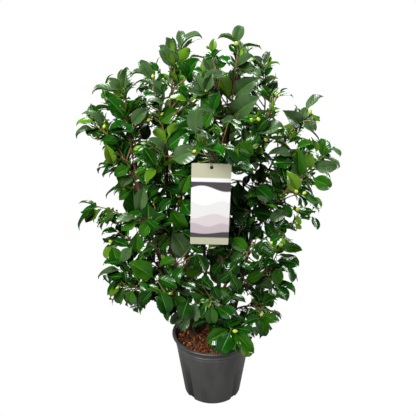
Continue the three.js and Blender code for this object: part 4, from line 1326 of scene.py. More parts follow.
GRID_ALONG, GRID_SIDE, GRID_UNDER, GRID_FACES, GRID_SLOTS = leaf_grid()
GRID_SPOTS = list(zip(GRID_ALONG.tolist(), (0.5 + GRID_SIDE / 2).tolist()))
GRID_ROW = np.concatenate([[0], np.repeat(np.arange(len(LEAF_ROWS)), len(LEAF_COLUMNS) + 1), [0]])


def leaf_bend(share, arch, curl):
    """How far a blade has bent down at a share of its length, in radians."""
    return arch * share ** ARCH_GROWTH + curl * share ** CURL_GROWTH


def leaf_points(root, along, face, length, width_share, fold, arch, curl, twist, wave):
    """The points of one blade: folded up along its rib, arched over, curled at its tip and twisted."""
    wide = length * width_share / 2
    part = np.abs(GRID_SIDE)
    angle = leaf_bend(GRID_ALONG, arch, curl)
    fine = np.linspace(0, 1, BLADE_STEPS + 1)
    bend = leaf_bend(fine, arch, curl)
    reach = np.concatenate([[0], np.cumsum(np.cos(bend[1:]))]) / BLADE_STEPS
    sink = np.concatenate([[0], np.cumsum(np.sin(bend[1:]))]) / BLADE_STEPS
    x = np.interp(GRID_ALONG, fine, reach) * length
    z = -np.interp(GRID_ALONG, fine, sink) * length
    y = GRID_SIDE * wide * math.cos(fold)
    lift = part * wide * math.sin(fold) - EDGE_DROOP * wide * part ** 3
    quilt = np.exp(-((part - VEIN_COLUMN) / VEIN_SPREAD) ** 2)
    lift += VEIN_RELIEF * np.where(GRID_ROW % 2 == 0, 1, -1) * quilt
    lift += wave * wide * np.sin(GRID_ALONG * EDGE_WAVES + np.sign(GRID_SIDE)) * part
    lift -= GRID_UNDER * RIB_DEPTH * (RIB_TAPER - GRID_ALONG)
    lift -= RIB_SINK * (part < RIB_HALF_WIDTH) * (1 - GRID_UNDER)
    roll = twist * GRID_ALONG
    y, lift = y * np.cos(roll) - lift * np.sin(roll), y * np.sin(roll) + lift * np.cos(roll)
    x = x + lift * np.sin(angle)
    z = z + lift * np.cos(angle)
    a, n = np.array(along), np.array(face)
    b = np.cross(n, a)
    return np.array(root) + x[:, None] * a + y[:, None] * b + z[:, None] * n


def rough_blade(points):
    """A blade in a few triangles, to see whether it would cut through something, and its corners."""
    spots = [0]
    for row in ROUGH_ROWS:
        here = 1 + (row - 1) * (len(LEAF_COLUMNS) + 1)
        spots += [here + column for column in ROUGH_COLUMNS]
    spots.append(len(points) - 1)
    places = [Vector(points[spot]) for spot in spots]
    faces = [(0, 1, 2), (0, 2, 3)]
    for row in range(len(ROUGH_ROWS) - 1):
        a = 1 + row * 3
        faces += [(a, a + 3, a + 4), (a, a + 4, a + 1), (a + 1, a + 4, a + 5), (a + 1, a + 5, a + 2)]
    end = len(places) - 1
    faces += [(end - 3, end, end - 2), (end - 2, end, end - 1)]
    return BVHTree.FromPolygons(places, faces), places


def rough_wood():
    """All the twigs and stems in a few triangles."""
    points, faces = [], []
    for number, twig, line, radius, bare in twigs:
        coarse = part_of(line, 0, 1, max(int(length_of(line) / ROUGH_WOOD_STEP), FEWEST_ROUGH_STEPS))
        add_shape(tube(coarse, lambda share, angle: radius, ROUGH_TWIG_SIDES, len(points)), points, faces)
    for name, foot, tip, bow, radius in STEMS:
        coarse = part_of(stem_lines[name], 0, STEM_BARE_SHARE, ROUGH_STEM_POINTS)
        stem = tube(coarse, lambda share, angle: mix(radius, STEM_TIP_RADIUS, share) + STEM_CLEARANCE,
                    ROUGH_STEM_SIDES, len(points))
        add_shape(stem, points, faces)
    return BVHTree.FromPolygons(points, faces)


def stalk(root, end, first):
    """A short stalk of two steps from the twig's middle to the blade."""
    middle = mix(root, end, 0.5) - UP * STALK_SAG
    thin = STALK_RADIUS * STALK_TAPER
    return tube([root, middle, end], lambda share, angle: mix(STALK_RADIUS, thin, share), STALK_SIDES, first)


def leaf_plan(number, twig, line, share, leaf, turn, attempt):
    """Where one try of a leaf grows and starts, which way it points and faces, its length and its shape."""
    def draw(key):
        return chance(number, twig, leaf, key + attempt * NEXT_TRY)

    root = at(line, share)
    twig_along = heading(line, share)
    highness = min(max((root.z - LOW_CROWN) / CROWN_RISE, 0), 1)
    spread = mix(SPREAD_AT_FOOT, mix(*SPREAD_AT_TIP, highness), share) + SPREAD_VARIES * (draw(0) - 0.5)
    outward = round_twig(twig_along, turn + attempt * TRY_TURN)
    along = twig_along * math.cos(spread) + outward * math.sin(spread)
    along.z += mix(*DROOP, highness) + DROOP_VARIES * (draw(2) - 0.5)
    along += Vector((draw(9) - 0.5, draw(10) - 0.5, 0)) * ASIDE_VARIES
    along.normalize()
    light = Vector((root.x, root.y, 0)).normalized() * LIGHT_FROM_OUTSIDE
    light += Vector((LIGHT_VARIES * (draw(3) - 0.5), LIGHT_VARIES * (draw(4) - 0.5), LIGHT_FROM_ABOVE))
    face = (light - along * light.dot(along)).normalized()
    age = 1 - share if twig == 0 else SIDE_TWIG_AGE
    length = LEAF_LENGTH * mix(*LENGTH_BY_AGE, age) * mix(*LENGTH_VARIES, draw(1))
    length *= 1 - TRY_SHORTER * attempt
    start = root + along * STALK_LENGTH
    shape = [mix(*span, draw(key)) for span, key in zip(HABIT_SHAPE, HABIT_DRAWS)]
    return root, start, along, face, length, shape


def tint_of(number, twig, leaf, share, height):
    """New growth at a shoot's end is bright, the highest leaves take the pale grey-green painted sheen, and
    the rest is darker the lower and the deeper it grows.
    """
    if share > YOUNG_FROM and chance(number, twig, 3, 78) < YOUNG_SHARE:
        return YOUNG
    if chance(number, twig, leaf, 79) < PAINTED_SHEEN_GROWTH * (height - PAINTED_SHEEN_FROM):
        return PAINTED_SHEEN
    rank = chance(number, twig, leaf, 77)
    rank += BRIGHTER_UPWARDS * (height - 0.5)
    rank += BRIGHTER_OUTWARDS * (share - 0.5)
    return next((tint for tint, most in enumerate(TINT_SHARES) if rank < most), FRESH)


def shown_leaf(row, start, tip, turned):
    """The points of a leaf whose two ends are given."""
    along = (tip - start).normalized()
    face = UP * (1 - abs(turned)) + (EYE - start).normalized() * turned
    face = (face - along * face.dot(along)).normalized()
    along = (along + face * SHOWN_LIFT).normalized()
    shape = [mix(*span, chance(row, 1, 1, key)) for key, span in enumerate(SHOWN_SHAPE)]
    shape[0] *= YOUNG_WIDTH if turned < 0 else 1
    return leaf_points(start, along, face, (tip - start).length * SHOWN_STRETCH, *shape)


# Leaves are noted in cells of space, so that a new one is tried only against those near it
CELL = 60.0
CELL_MARGIN = 1
leaf_cells = {}
# A leaf is its rough blade, the number of its mass, its points, its tint, and the two ends of its stalk
leaves = []
wood = rough_wood()
lowest, highest = (corner / MM for corner in cad_box)
wood_points = [point for number, twig, line, *_ in twigs for point in line]
# For each of these points: its mass, its twig, and the share of the twig's length
wood_spots = [(number, twig, spot / (len(line) - 1))
              for number, twig, line, *_ in twigs for spot in range(len(line))]
# How far along each twig something grows. A main twig is whole whatever it bears.
borne = {(number, 0): 1.0 for number in range(len(masses))}


def seen_all(points):
    """Where points are seen, and how far each is from the eye."""
    sight = np.array(points) - np.array(EYE)
    scale = SIGHT_SCALE / (sight @ np.array(FORWARD))
    down = PICTURE / 2 - (sight @ np.array(SKYWARD)) * scale
    return np.stack([PICTURE / 2 + sight[:, 0] * scale, down], axis=1), np.linalg.norm(sight, axis=1)


wood_seen = np.array([seen_at(point) for point in wood_points])
wood_depth = np.array([(point - EYE).length for point in wood_points])


def cells_near(points):
    """The cells of space that points lie in or between."""
    low = [int((min(point[i] for point in points) - CELL_MARGIN) // CELL) for i in range(3)]
    high = [int((max(point[i] for point in points) + CELL_MARGIN) // CELL) for i in range(3)]
    return [(x, y, z) for x in range(low[0], high[0] + 1) for y in range(low[1], high[1] + 1)
            for z in range(low[2], high[2] + 1)]


def bear(number, twig, share):
    """Notes how far along a twig something grows."""
    borne[number, twig] = max(borne.get((number, twig), 0), share)


def joint_near(point, number):
    """The spot on a mass's twigs that is nearest to a point."""
    own = (spot for spot, place in enumerate(wood_spots) if place[0] == number)
    pick = min(own, key=lambda spot: (wood_points[spot] - point).length)
    bear(*wood_spots[pick])
    return wood_points[pick]


def joint_seen(place):
    """The wood nearest the eye among all that is seen close to a place, and the mass that it belongs to."""
    apart = np.hypot(*(wood_seen - place).T)
    close = np.flatnonzero(apart < max(ROOT_REACH, apart.min() + ROOT_SLACK))
    pick = close[np.argmin(wood_depth[close])]
    bear(*wood_spots[pick])
    return wood_points[pick], wood_spots[pick][0]


def keep_leaf(points, number, tint, joint, start):
    tree, places = rough_blade(points)
    for cell in cells_near(places):
        leaf_cells.setdefault(cell, []).append(len(leaves))
    leaves.append((tree, number, points, tint, joint, start))


def meets_leaves(tree, places):
    """Whether a rough blade cuts through a leaf that is there already."""
    others = {other for cell in cells_near(places) for other in leaf_cells.get(cell, ())}
    return any(tree.overlap(leaves[other][0]) for other in others)


shown = []
for mass, rows in SHOWN_LEAVES.items():
    number = next(i for i, other in enumerate(masses) if other[0] == mass)
    for *ends, root_y, tip_y, turned, tint in rows:
        joint = joint_near(placed(*ends[:2], root_y), number)
        shown.append((number, joint, ends, root_y, tip_y, turned, tint))
for *ends, turned, tint in INNER_LEAVES:
    joint, number = joint_seen(ends[:2])
    root_y = joint.y - ROOT_BEFORE
    flat = (placed(*ends[2:], root_y) - placed(*ends[:2], root_y)).length
    forward = min(math.sqrt(max(LEAF_LENGTH ** 2 - flat ** 2, 0)), INNER_FORWARD)
    shown.append((number, joint, ends, root_y, root_y - forward * (1 - abs(turned)), turned, tint))
for row, (number, joint, ends, root_y, tip_y, turned, tint) in enumerate(shown):
    for shift in SHOWN_SHIFTS:
        start, tip = placed(*ends[:2], root_y + shift), placed(*ends[2:], tip_y + shift)
        points = shown_leaf(row, start, tip, turned)
        if not meets_leaves(*rough_blade(points)):
            break
    keep_leaf(points, number, tint, joint, start)


# Bands of the picture that later leaves may not cover: the shown leaves, and the wood seen between leaves.
# A band is its two ends as they are seen, half its width, and how far it is from the eye.
bands = []
for tree, number, points, *_ in leaves:
    seen, depth = seen_all(points)
    axis = (seen[-1] - seen[0]) / np.linalg.norm(seen[-1] - seen[0])
    half = np.abs((seen - seen[0]) @ np.array((-axis[1], axis[0]))).max()
    first, last = (mix(seen[0], seen[-1], share) for share in BAND_ENDS)
    bands.append((*first, *last, half * BAND_SHARE, depth.mean()))
main_twigs = {mass[0]: mass[2] for mass in masses}
seen_wood = (
    (stem_lines, SEEN_STEMS, SEEN_STEM_STEPS),
    (main_twigs, SEEN_TWIGS, SEEN_SHOOT_STEPS),
    (bough_lines, SEEN_BOUGHS, SEEN_SHOOT_STEPS),
)
for lines, rows, steps in seen_wood:
    for name, first, last in rows:
        seen, depth = seen_all(part_of(lines[name], first, last, steps))
        bands += [(*seen[i], *seen[i + 1], WOOD_BAND, depth[i]) for i in range(steps)]
bands = np.array(bands)


def covers_band(places):
    """Whether a blade stands before one of the bands."""
    seen, depth = seen_all(places)
    start, end = bands[:, 0:2], bands[:, 2:4]
    run = end - start
    offset = seen[:, None, :] - start[None]
    share = np.clip((offset * run).sum(axis=2) / (run * run).sum(axis=1), 0, 1)
    apart = np.linalg.norm(offset - share[:, :, None] * run, axis=2)
    return bool(((apart < bands[:, 4]) & (depth[:, None] < bands[:, 5] - BAND_BEFORE)).any())


def room_for(number, points, gap):
    """Whether a blade keeps clear of the pot, the label, the gaps of sky, the wood and every other leaf."""
    tree, places = rough_blade(points)
    if any(in_the_way(place) or not in_own_space(number, place, gap) for place in places):
        return False
    if any(against_sky(place) for place in places[:-1]):
        return False
    if any(place[i] < lowest[i] - BOX_MARGIN or place[i] > highest[i] + BOX_MARGIN
           for place in places for i in range(3)):
        return False
    return not (covers_band(places) or tree.overlap(wood) or meets_leaves(tree, places))


for number, twig, line, radius, bare in twigs:
    leafy = length_of(line) * (1 - bare)
    count = max(FEWEST_LEAVES, round(leafy / (MAIN_LEAF_SPACING if twig == 0 else SIDE_LEAF_SPACING)))
    for leaf in reversed(range(count)):
        share = mix(bare + FIRST_LEAF, LAST_LEAF, leaf / (count - 1))
        turn = leaf * GOLDEN_ANGLE + twig * TURN_BY_TWIG + number
        for attempt in range(LEAF_TRIES):
            root, *blade, shape = leaf_plan(number, twig, line, share, leaf, turn, attempt)
            points = leaf_points(*blade, *shape)
            if room_for(number, points, LEAF_SPACE_GAP):
                tint = tint_of(number, twig, leaf, share, (root.z - TINT_FOOT) / TINT_RISE)
                keep_leaf(points, number, tint, root, blade[0])
                bear(number, twig, share)
                break


def disc_grown(mask, reach):
    """A mask of the picture grown by a disc."""
    grown = np.zeros_like(mask)
    for across in range(-reach, reach + 1):
        for down in range(-reach, reach + 1):
            if across * across + down * down <= reach * reach:
                grown |= np.roll(mask, (down, across), (0, 1))
    return grown


def cells_of(points):
    """The cells of the picture that a blade's points are seen in."""
    seen, depth = seen_all(points)
    return tuple(np.clip(np.round(seen).astype(int), 1, PICTURE - 2).T[::-1])


# Leaves fill the crown wherever light would still come through it from behind
covered = np.zeros((PICTURE, PICTURE), bool)
for tree, number, points, *_ in leaves:
    covered[cells_of(points)] = True
covered = disc_grown(covered, 1)
crown = ~disc_grown(~disc_grown(covered, FILL_REACH), FILL_REACH)
for number, twig, line, radius, bare in twigs:
    count = max(FEWEST_FILLING, round(length_of(line) / FILL_SPACING))
    for leaf in range(count):
        share = mix(max(bare * FILL_BARE_SHARE, FIRST_LEAF), LAST_FILLING, leaf / (count - 1))
        turn = leaf * GOLDEN_ANGLE + twig * FILL_TURN_BY_TWIG + number
        for attempt in range(FILL_TRIES):
            root, start, along, face, length, shape = leaf_plan(
                number, twig, line, share, FIRST_FILLING + leaf, turn, attempt)
            length *= mix(*FILL_LENGTH, attempt / FILL_TRIES)
            points = leaf_points(start, along, face, length, *shape)
            cells = cells_of(points)
            lets_light = crown[cells].all() and (~covered[cells]).mean() > FILL_SHARE
            if lets_light and room_for(number, points, FILL_SPACE_GAP):
                # Filling leaves take only the two darkest tints, as painted shade deep in the crown.
                tint = DARK if chance(number, twig, leaf, 90) < FILL_SHADE_SHARE else DEEP
                keep_leaf(points, number, tint, root, start)
                bear(number, twig, share)
                for across in (-1, 0, 1):
                    for down in (-1, 0, 1):
                        covered[cells[0] + down, cells[1] + across] = True
                break


def vein_group():
    """The quilted relief of a blade on its own map, which runs along and across it, sunk at the veins."""
    tree, given = new_group("blade_veins", "ShaderNodeTree", {"Grain": "Float"}, {"Height": "Float"})
    blade = add_node(tree, "ShaderNodeUVMap", uv_map="blade")
    parts = add_node(tree, "ShaderNodeSeparateXYZ", {"Vector": blade.outputs["UV"]}).outputs
    aside = reckoned(tree, "ABSOLUTE", reckoned(tree, "SUBTRACT", parts["Y"], 0.5))
    slant = reckoned(tree, "MULTIPLY", aside, VEIN_SLANT)
    place = reckoned(tree, "SUBTRACT", parts["X"], slant)
    wave = reckoned(tree, "SINE", reckoned(tree, "MULTIPLY", place, math.pi * VEIN_PAIRS))
    height = reckoned(tree, "ADD", reckoned(tree, "ABSOLUTE", wave), given["Grain"])
    add_node(tree, "NodeGroupOutput", {"Height": height})
    return tree


blade_veins = vein_group()


def veined(material):
    """The same finish with the veins' relief added to its grain."""
    tree = material.node_tree
    pattern = next(node for node in tree.nodes if node.type == "GROUP")
    relief = next(node for node in tree.nodes if node.type == "BUMP")
    veins = add_node(tree, "ShaderNodeGroup", {"Grain": pattern.outputs["Grain"]}, node_tree=blade_veins)
    wire(tree, relief, {"Height": veins.outputs["Height"]})
    return material


leaf_materials = [
    veined(mottled(name, dark, light, blotch=28, grain=150, roughness=roughness, bump=VEIN_BUMP, uneven=0.05,
                   Specular_IOR_Level=LEAF_SHINE))
    for name, (dark, light, roughness) in LEAF_TINTS.items()
]
leaf_rib = mottled("leaf_rib", (0.028, 0.105, 0.006), (0.056, 0.160, 0.012), blotch=40, grain=500,
                   roughness=0.36, bump=0.05)
# The underside's yellow-green is its own colour, made brighter as well: a painted glow of light shining
# through the leaf.
leaf_under_and_glow = veined(mottled("leaf_under_and_glow", (0.085, 0.210, 0.004), (0.135, 0.290, 0.008), blotch=35, grain=500,
                            roughness=0.55, bump=0.3))
for stem, *_ in STEMS:
    points, faces, slots, spots = [], [], [], []
    for tree, number, blade, tint, root, start in leaves:
        if masses[number][1] != stem:
            continue
        first = len(points)
        points += blade.tolist()
        spots += GRID_SPOTS
        faces += [tuple(first + spot for spot in face) for face in GRID_FACES]
        slots += [tint if slot is None else slot for slot in GRID_SLOTS]
        add_shape(stalk(root, start + (start - root) * STALK_OVERLAP, len(points)), points, faces)
        spots += [(0.0, 0.5)] * (len(points) - len(spots))
        slots += [RIB] * (len(faces) - len(slots))
    piece = new_piece(f"leaves_{stem}", points, faces, leaf_materials + [leaf_rib, leaf_under_and_glow], slots,
                      sharp=LEAF_SHARPNESS)
    corners = np.zeros(len(piece.data.loops), int)
    piece.data.loops.foreach_get("vertex_index", corners)
    blade_map = piece.data.uv_layers.new(name="blade")
    blade_map.data.foreach_set("uv", np.array(spots)[corners].ravel())
    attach(piece, "root")
    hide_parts(*[f"foliage_{mass[0]}" for mass in masses if mass[1] == stem])


# Buds
# Round flower buds, not yet open, stand at the ends of the shoots and in the upper leaf joints.
# Their overlapping scales are yellow-green.
BUD_RADIUS = 4.3
BUD_STRETCH = 1.45
SHOWN_BUDS = (
    (237, 45), (174, 50), (174, 57), (205, 91), (153, 78), (150, 119), (161, 115), (172, 131), (136, 156),
    (133, 162), (129, 173), (180, 197), (193, 152), (253, 122), (259, 121), (261, 139), (267, 141),
    (251, 198), (297, 193), (303, 194), (298, 211), (270, 243), (281, 246), (207, 264), (146, 281),
    (112, 243), (119, 287), (169, 294), (210, 303), (233, 331), (261, 316), (309, 114), (104, 128),
)
BUD_RINGS = 7
BUD_SIDES = 10
BUD_SHARPNESS = 80
# The powers that set how full a bud is towards its tip
BUD_TIP_GROWTH = 0.85
BUD_FULLNESS = 0.8
BUD_RISE = 0.8
BUD_SINK = 1.5
SCALE_STEP = 0.07
SHOWN_BUD_SIZES = (0.85, 1.2)
SHOWN_BUD_BEFORE = 4
# Buds that are not seen from in front: on how many twigs behind this depth, and their sizes
BACK_BUDS = 60.0
BACK_BUD_SHARE = 0.4
BACK_BUD_SIZES = (0.7, 1.15)


def bud_shape(root, along, size, first):
    """A pointed ball of scales, its alternate scales standing a little proud."""
    across = along.orthogonal().normalized()
    other = along.cross(across)
    points = [root]
    for ring in range(1, BUD_RINGS):
        share = ring / BUD_RINGS
        radius = BUD_RADIUS * size * math.sin(math.pi * share ** BUD_TIP_GROWTH) ** BUD_FULLNESS
        for side in range(BUD_SIDES):
            proud = 1 + SCALE_STEP * (1 if (side + ring) % 2 else -1)
            angle = math.tau * side / BUD_SIDES
            rise = share * 2 * BUD_RADIUS * BUD_STRETCH * size
            out = across * math.cos(angle) + other * math.sin(angle)
            points.append(root + along * rise + out * radius * proud)
    points.append(root + along * 2 * BUD_RADIUS * BUD_STRETCH * size)
    return points, turned_faces(BUD_RINGS - 1, BUD_SIDES, first)


bud_scales = mottled("bud_scales", (0.24, 0.33, 0.018), (0.42, 0.49, 0.045), blotch=140, grain=700,
                     roughness=0.5, bump=0.15)
buds_at = []
for row, place in enumerate(SHOWN_BUDS):
    joint, number = joint_seen(place)
    base = placed(*place, joint.y - SHOWN_BUD_BEFORE)
    buds_at.append((joint, base, mix(*SHOWN_BUD_SIZES, chance(row, 0, 0, 92))))
for number, twig, line, radius, bare in twigs:
    grows = (number, twig) in borne
    if line[-1].y > BACK_BUDS and grows and chance(number, twig, 0, 91) < BACK_BUD_SHARE:
        bear(number, twig, 1)
        buds_at.append((line[-2], line[-1], mix(*BACK_BUD_SIZES, chance(number, twig, 0, 92))))
points, faces, slots = [], [], []
for joint, base, size in buds_at:
    along = ((base - joint).normalized() + UP * BUD_RISE).normalized()
    add_shape(bud_shape(base - along * BUD_SINK, along, size, len(points)), points, faces)
    slots += [0] * (len(faces) - len(slots))
    add_shape(stalk(joint, base, len(points)), points, faces)
    slots += [1] * (len(faces) - len(slots))
buds = new_piece("flower_buds", points, faces, [bud_scales, leaf_rib], slots, sharp=BUD_SHARPNESS)
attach(buds, "root")
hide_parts(*[f"foliage_{mass[0]}" for mass in masses])


# Twig wood
# This year's wood is thin and smooth, red-brown on the main twigs and greener on the side twigs.
# Each grows as far as its last leaf or bud, and a side twig that bears none has withered and fallen.
TWIG_TIP_RADIUS = 1.1
TWIG_SIDES = 6
FEWEST_WOOD_STEPS = 3
green_twig = mottled(
    "green_twig", dark=(0.12, 0.055, 0.022), light=(0.20, 0.12, 0.040), blotch=150, grain=900,
    roughness=0.55, bump=0.3,
)
for stem, *_ in STEMS:
    points, faces, slots = [], [], []
    for number, twig, line, radius, bare in twigs:
        if masses[number][1] != stem or (number, twig) not in borne:
            continue
        last = borne[number, twig]
        steps = max(int(length_of(line) * last / TWIG_STEP), FEWEST_WOOD_STEPS)
        smooth = part_of(line, 0, last, steps)
        wood_shape = tube(smooth, lambda share, angle: mix(radius, TWIG_TIP_RADIUS, share), TWIG_SIDES,
                          len(points))
        add_shape(wood_shape, points, faces)
        slots += [0 if twig == 0 else 1] * (len(faces) - len(slots))
    piece = new_piece(f"twigs_{stem}", points, faces, [red_bark, green_twig], slots, sharp=BARK_SHARPNESS)
    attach(piece, "root")
    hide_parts(*[f"foliage_{mass[0]}" for mass in masses if mass[1] == stem])


# Label
# A plant label of printed plastic card, with rounded corners and a punched hole that it hangs by.
# It has a plain head and foot band, and a picture field of pale rounded hills under a dark sky.
TAG_WIDTH = 86.0
TAG_HEIGHT = 192.0
TAG_THICKNESS = 0.9
TAG_CORNER = 3.0
TAG_EDGE = 0.12
TAG_HOLE_RADIUS = 4.0
TAG_HOLE_DROP = 9.0
TAG_HOLE_SIDES = 24
TAG_ROLL = 1.6
HANG_SHARE = 0.9
HANG_LENGTH = 35.0
CARD_COLOUR = (0.35, 0.345, 0.245)
WHITE_INK = (0.62, 0.62, 0.60)
DARK_SKY = (0.045, 0.038, 0.043)
HILLS = (
    # how high the skyline is, how far it waves, how many waves it has and where they start, and its colour
    (0.70, 0.035, 0.8, 0.2, (0.61, 0.61, 0.60)),
    (0.52, 0.030, 1.1, 2.4, (0.55, 0.54, 0.53)),
    (0.36, 0.030, 0.9, 4.4, (0.48, 0.43, 0.44)),
    (0.25, 0.022, 1.3, 1.1, (0.37, 0.32, 0.34)),
    (0.15, 0.014, 0.8, 3.0, (0.040, 0.038, 0.040)),
)
INK_EDGE = 0.006
FOOT_BAND = 0.088
WHITE_STRIPE = 0.782
HEAD_BAND = 0.828
CARD_FLECK = 900
above_tag = next(shoot_line(*shoot[1:4]) for shoot in SHOOTS if shoot[0] == "above_tag")
hang_place = at(above_tag, HANG_SHARE) - UP * HANG_LENGTH


def label_print():
    """Bands of plain colour, and a picture of hills, laid out on the label's own map."""
    material = bpy.data.materials.new("label_print")
    material.use_nodes = True
    tree = material.node_tree
    place = add_node(tree, "ShaderNodeUVMap", uv_map="print")
    parts = add_node(tree, "ShaderNodeSeparateXYZ", {"Vector": place.outputs["UV"]}).outputs

    def below(middle, height=0, turns=0, shift=0):
        """1 under a wavy skyline, with a soft edge."""
        phase = reckoned(tree, "ADD", reckoned(tree, "MULTIPLY", parts["X"], turns * math.tau), shift)
        swell = reckoned(tree, "MULTIPLY", reckoned(tree, "SINE", phase), height)
        depth = reckoned(tree, "SUBTRACT", reckoned(tree, "ADD", swell, middle), parts["Y"])
        edge = {"Value": depth, "From Min": -INK_EDGE, "From Max": INK_EDGE}
        return add_node(tree, "ShaderNodeMapRange", edge).outputs["Result"]

    def above(middle):
        return reckoned(tree, "SUBTRACT", 1.0, below(middle))

    def painted(under, over, mask):
        sources = {"Factor": mask, MIX_FIRST: under, MIX_SECOND: (*over, 1)}
        return add_node(tree, "ShaderNodeMix", sources, data_type="RGBA").outputs[MIX_RESULT]

    ink = (*DARK_SKY, 1)
    for *skyline, colour in HILLS:
        ink = painted(ink, colour, below(*skyline))
    ink = painted(ink, CARD_COLOUR, below(FOOT_BAND))
    ink = painted(ink, WHITE_INK, above(WHITE_STRIPE))
    ink = painted(ink, CARD_COLOUR, above(HEAD_BAND))
    object_place = add_node(tree, "ShaderNodeTexCoord").outputs["Object"]
    fleck = add_node(tree, "ShaderNodeTexNoise", {"Vector": object_place, "Scale": CARD_FLECK})
    relief = add_node(tree, "ShaderNodeBump", {
        "Height": fleck.outputs["Fac"], "Strength": 0.05, "Distance": MM,
    })
    wire(tree, tree.nodes["Principled BSDF"], {
        "Base Color": ink, "Roughness": 0.42, "Coat Weight": 0.2, "Normal": relief.outputs["Normal"],
    })
    return material


def label_mesh():
    """The card, cut from its outline and hole, hung from the hole and turned a little on it."""
    half, top = TAG_WIDTH / 2, TAG_HOLE_DROP
    foot = top - TAG_HEIGHT
    corners = ((-half, foot), (half, foot), (half, top), (-half, top))
    outline = rounded([(x, z, TAG_CORNER) for x, z in corners])
    angles = [math.tau * side / TAG_HOLE_SIDES for side in range(TAG_HOLE_SIDES)]
    hole = [(TAG_HOLE_RADIUS * math.cos(angle), TAG_HOLE_RADIUS * math.sin(angle)) for angle in angles]
    curve = bpy.data.curves.new("label_outline", "CURVE")
    curve.dimensions = "2D"
    curve.fill_mode = "BOTH"
    curve.extrude = TAG_THICKNESS / 2 - TAG_EDGE
    curve.bevel_depth = TAG_EDGE
    curve.offset = -TAG_EDGE
    for loop in (outline, hole):
        spline = curve.splines.new("POLY")
        spline.points.add(len(loop) - 1)
        for point, (x, z) in zip(spline.points, loop):
            point.co = (x, z, 0, 1)
        spline.use_cyclic_u = True
    flat = in_scene("label_outline", curve)
    graph = bpy.context.evaluated_depsgraph_get()
    mesh = bpy.data.meshes.new_from_object(flat.evaluated_get(graph))
    bpy.data.objects.remove(flat)
    layer = mesh.uv_layers.new(name="print")
    for loop in mesh.loops:
        x, z = mesh.vertices[loop.vertex_index].co[:2]
        layer.data[loop.index].uv = ((x + half) / TAG_WIDTH, (z - foot) / TAG_HEIGHT)
    roll = math.radians(TAG_ROLL)
    for vertex in mesh.vertices:
        x, z, depth = vertex.co
        vertex.co = (
            hang_place.x + x * math.cos(roll) + z * math.sin(roll),
            hang_place.y - depth,
            hang_place.z - x * math.sin(roll) + z * math.cos(roll),
        )
        vertex.co *= MM
    return mesh


label = in_scene("label_card", label_mesh())
label.data.materials.clear()
label.data.materials.append(label_print())
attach(label, "root")
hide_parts("tag")


# Label loop
# A closed loop of thin coated wire, threaded through the hole and over the twig above it.
LOOP_WIRE_RADIUS = 0.8
LOOP_HALF_WIDTH = 8.0
LOOP_RISE = 2.6
LOOP_SLACK = 1.0
LOOP_STEPS = 72
LOOP_SIDES = 8
# A direction that the loop never runs along
ASKEW = Vector((0.3, 0.2, 1))
loop_low = TAG_HOLE_RADIUS - LOOP_WIRE_RADIUS - LOOP_SLACK
loop_high = HANG_LENGTH + LOOP_RISE
loop_line = []
for step in range(LOOP_STEPS):
    t = math.tau * step / LOOP_STEPS
    turn = math.pi / 2 * (1 + math.cos(t)) / 2
    out = LOOP_HALF_WIDTH * math.sin(t)
    rise = mix(loop_low, loop_high, (1 - math.cos(t)) / 2)
    loop_line.append(hang_place + Vector((out * math.cos(turn), out * math.sin(turn), rise)))


def ring_of(line, radius, sides):
    """Points and faces of a tube along a closed line."""
    points, faces = [], []
    count = len(line)
    for index, point in enumerate(line):
        forward = (line[(index + 1) % count] - line[index - 1]).normalized()
        across = forward.cross(ASKEW).normalized()
        other = forward.cross(across)
        for side in range(sides):
            angle = math.tau * side / sides
            points.append(point + (across * math.cos(angle) + other * math.sin(angle)) * radius)
    for index in range(count):
        low, high = index * sides, (index + 1) % count * sides
        for side in range(sides):
            after = (side + 1) % sides
            faces.append((low + side, low + after, high + after, high + side))
    return points, faces


coated_wire = mottled("coated_wire", (0.03, 0.05, 0.03), (0.06, 0.09, 0.05), blotch=200, grain=800,
                      roughness=0.45, bump=0.1)
loop = new_piece("label_loop", *ring_of(loop_line, LOOP_WIRE_RADIUS, LOOP_SIDES), [coated_wire])
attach(loop, "root")
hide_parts("tag_loop")


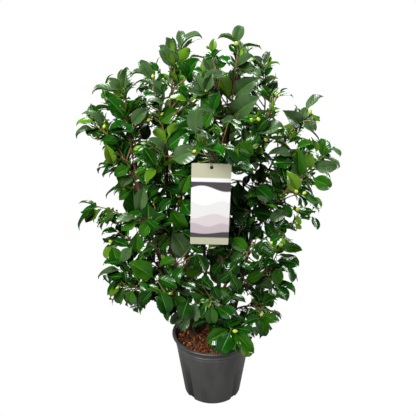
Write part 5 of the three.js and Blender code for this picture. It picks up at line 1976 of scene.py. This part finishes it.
# Floor and light
# A plain white floor that runs back out of sight, under a soft, even studio light.
# The key light stands above on the left, in front of the shrub, and the surroundings are white.
FLOOR_HALF = 40.0
FLOOR_BOUNCE = 0.12
WALL_LIGHT = 0.025
floor_mesh = bpy.data.meshes.new("floor")
floor_mesh.from_pydata([(x * FLOOR_HALF, y * FLOOR_HALF, 0) for x, y in ((-1, -1), (1, -1), (1, 1), (-1, 1))],
                       [], [(0, 1, 2, 3)])
floor = in_scene("floor", floor_mesh)


def shown_to_camera(tree, others, camera_sees, output):
    """Light meets one shader, and the camera sees another in its place."""
    ray = add_node(tree, "ShaderNodeLightPath").outputs["Is Camera Ray"]
    chosen = add_node(tree, "ShaderNodeMixShader", {"Fac": ray, 1: others, 2: camera_sees})
    tree.links.new(chosen.outputs["Shader"], output)


floor_white = bpy.data.materials.new("floor_white")
floor_white.use_nodes = True
floor_tree = floor_white.node_tree
floor_paint = wire(floor_tree, floor_tree.nodes["Principled BSDF"], {
    "Base Color": (FLOOR_BOUNCE, FLOOR_BOUNCE, FLOOR_BOUNCE, 1), "Roughness": 0.9, "Specular IOR Level": 0.1,
})
floor_glow = add_node(floor_tree, "ShaderNodeEmission")
shown_to_camera(floor_tree, floor_paint.outputs["BSDF"], floor_glow.outputs["Emission"],
                floor_tree.nodes["Material Output"].inputs["Surface"])
floor_mesh.materials.append(floor_white)

LAMP_AIM = Vector((0, 0, 0.5))
LIGHTS = (
    # name, place, size, power, in metres and watts
    ("key", (-1.3, -2.1, 2.7), 1.4, 235),
    ("fill", (2.2, -1.8, 1.4), 1.6, 14),
    ("top", (0.2, 0.8, 2.5), 1.3, 150),
    ("right", (2.1, 0.7, 0.9), 1.2, 60),
)
for name, place, size, power in LIGHTS:
    lamp = bpy.data.lights.new(name, "AREA")
    lamp.size = size
    lamp.energy = power
    light = in_scene(name, lamp)
    light.location = place
    light.rotation_mode = "QUATERNION"
    light.rotation_quaternion = (LAMP_AIM - light.location).to_track_quat("-Z", "Y")
world = bpy.data.worlds.new("studio")
world.use_nodes = True
studio = world.node_tree
white = {"Color": (1, 1, 1, 1)}
walls = wire(studio, studio.nodes["Background"], {**white, "Strength": WALL_LIGHT})
backdrop = add_node(studio, "ShaderNodeBackground", white)
shown_to_camera(studio, walls.outputs["Background"], backdrop.outputs["Background"],
                studio.nodes["World Output"].inputs["Surface"])
bpy.context.scene.world = world
bpy.context.scene.view_settings.view_transform = "Standard"
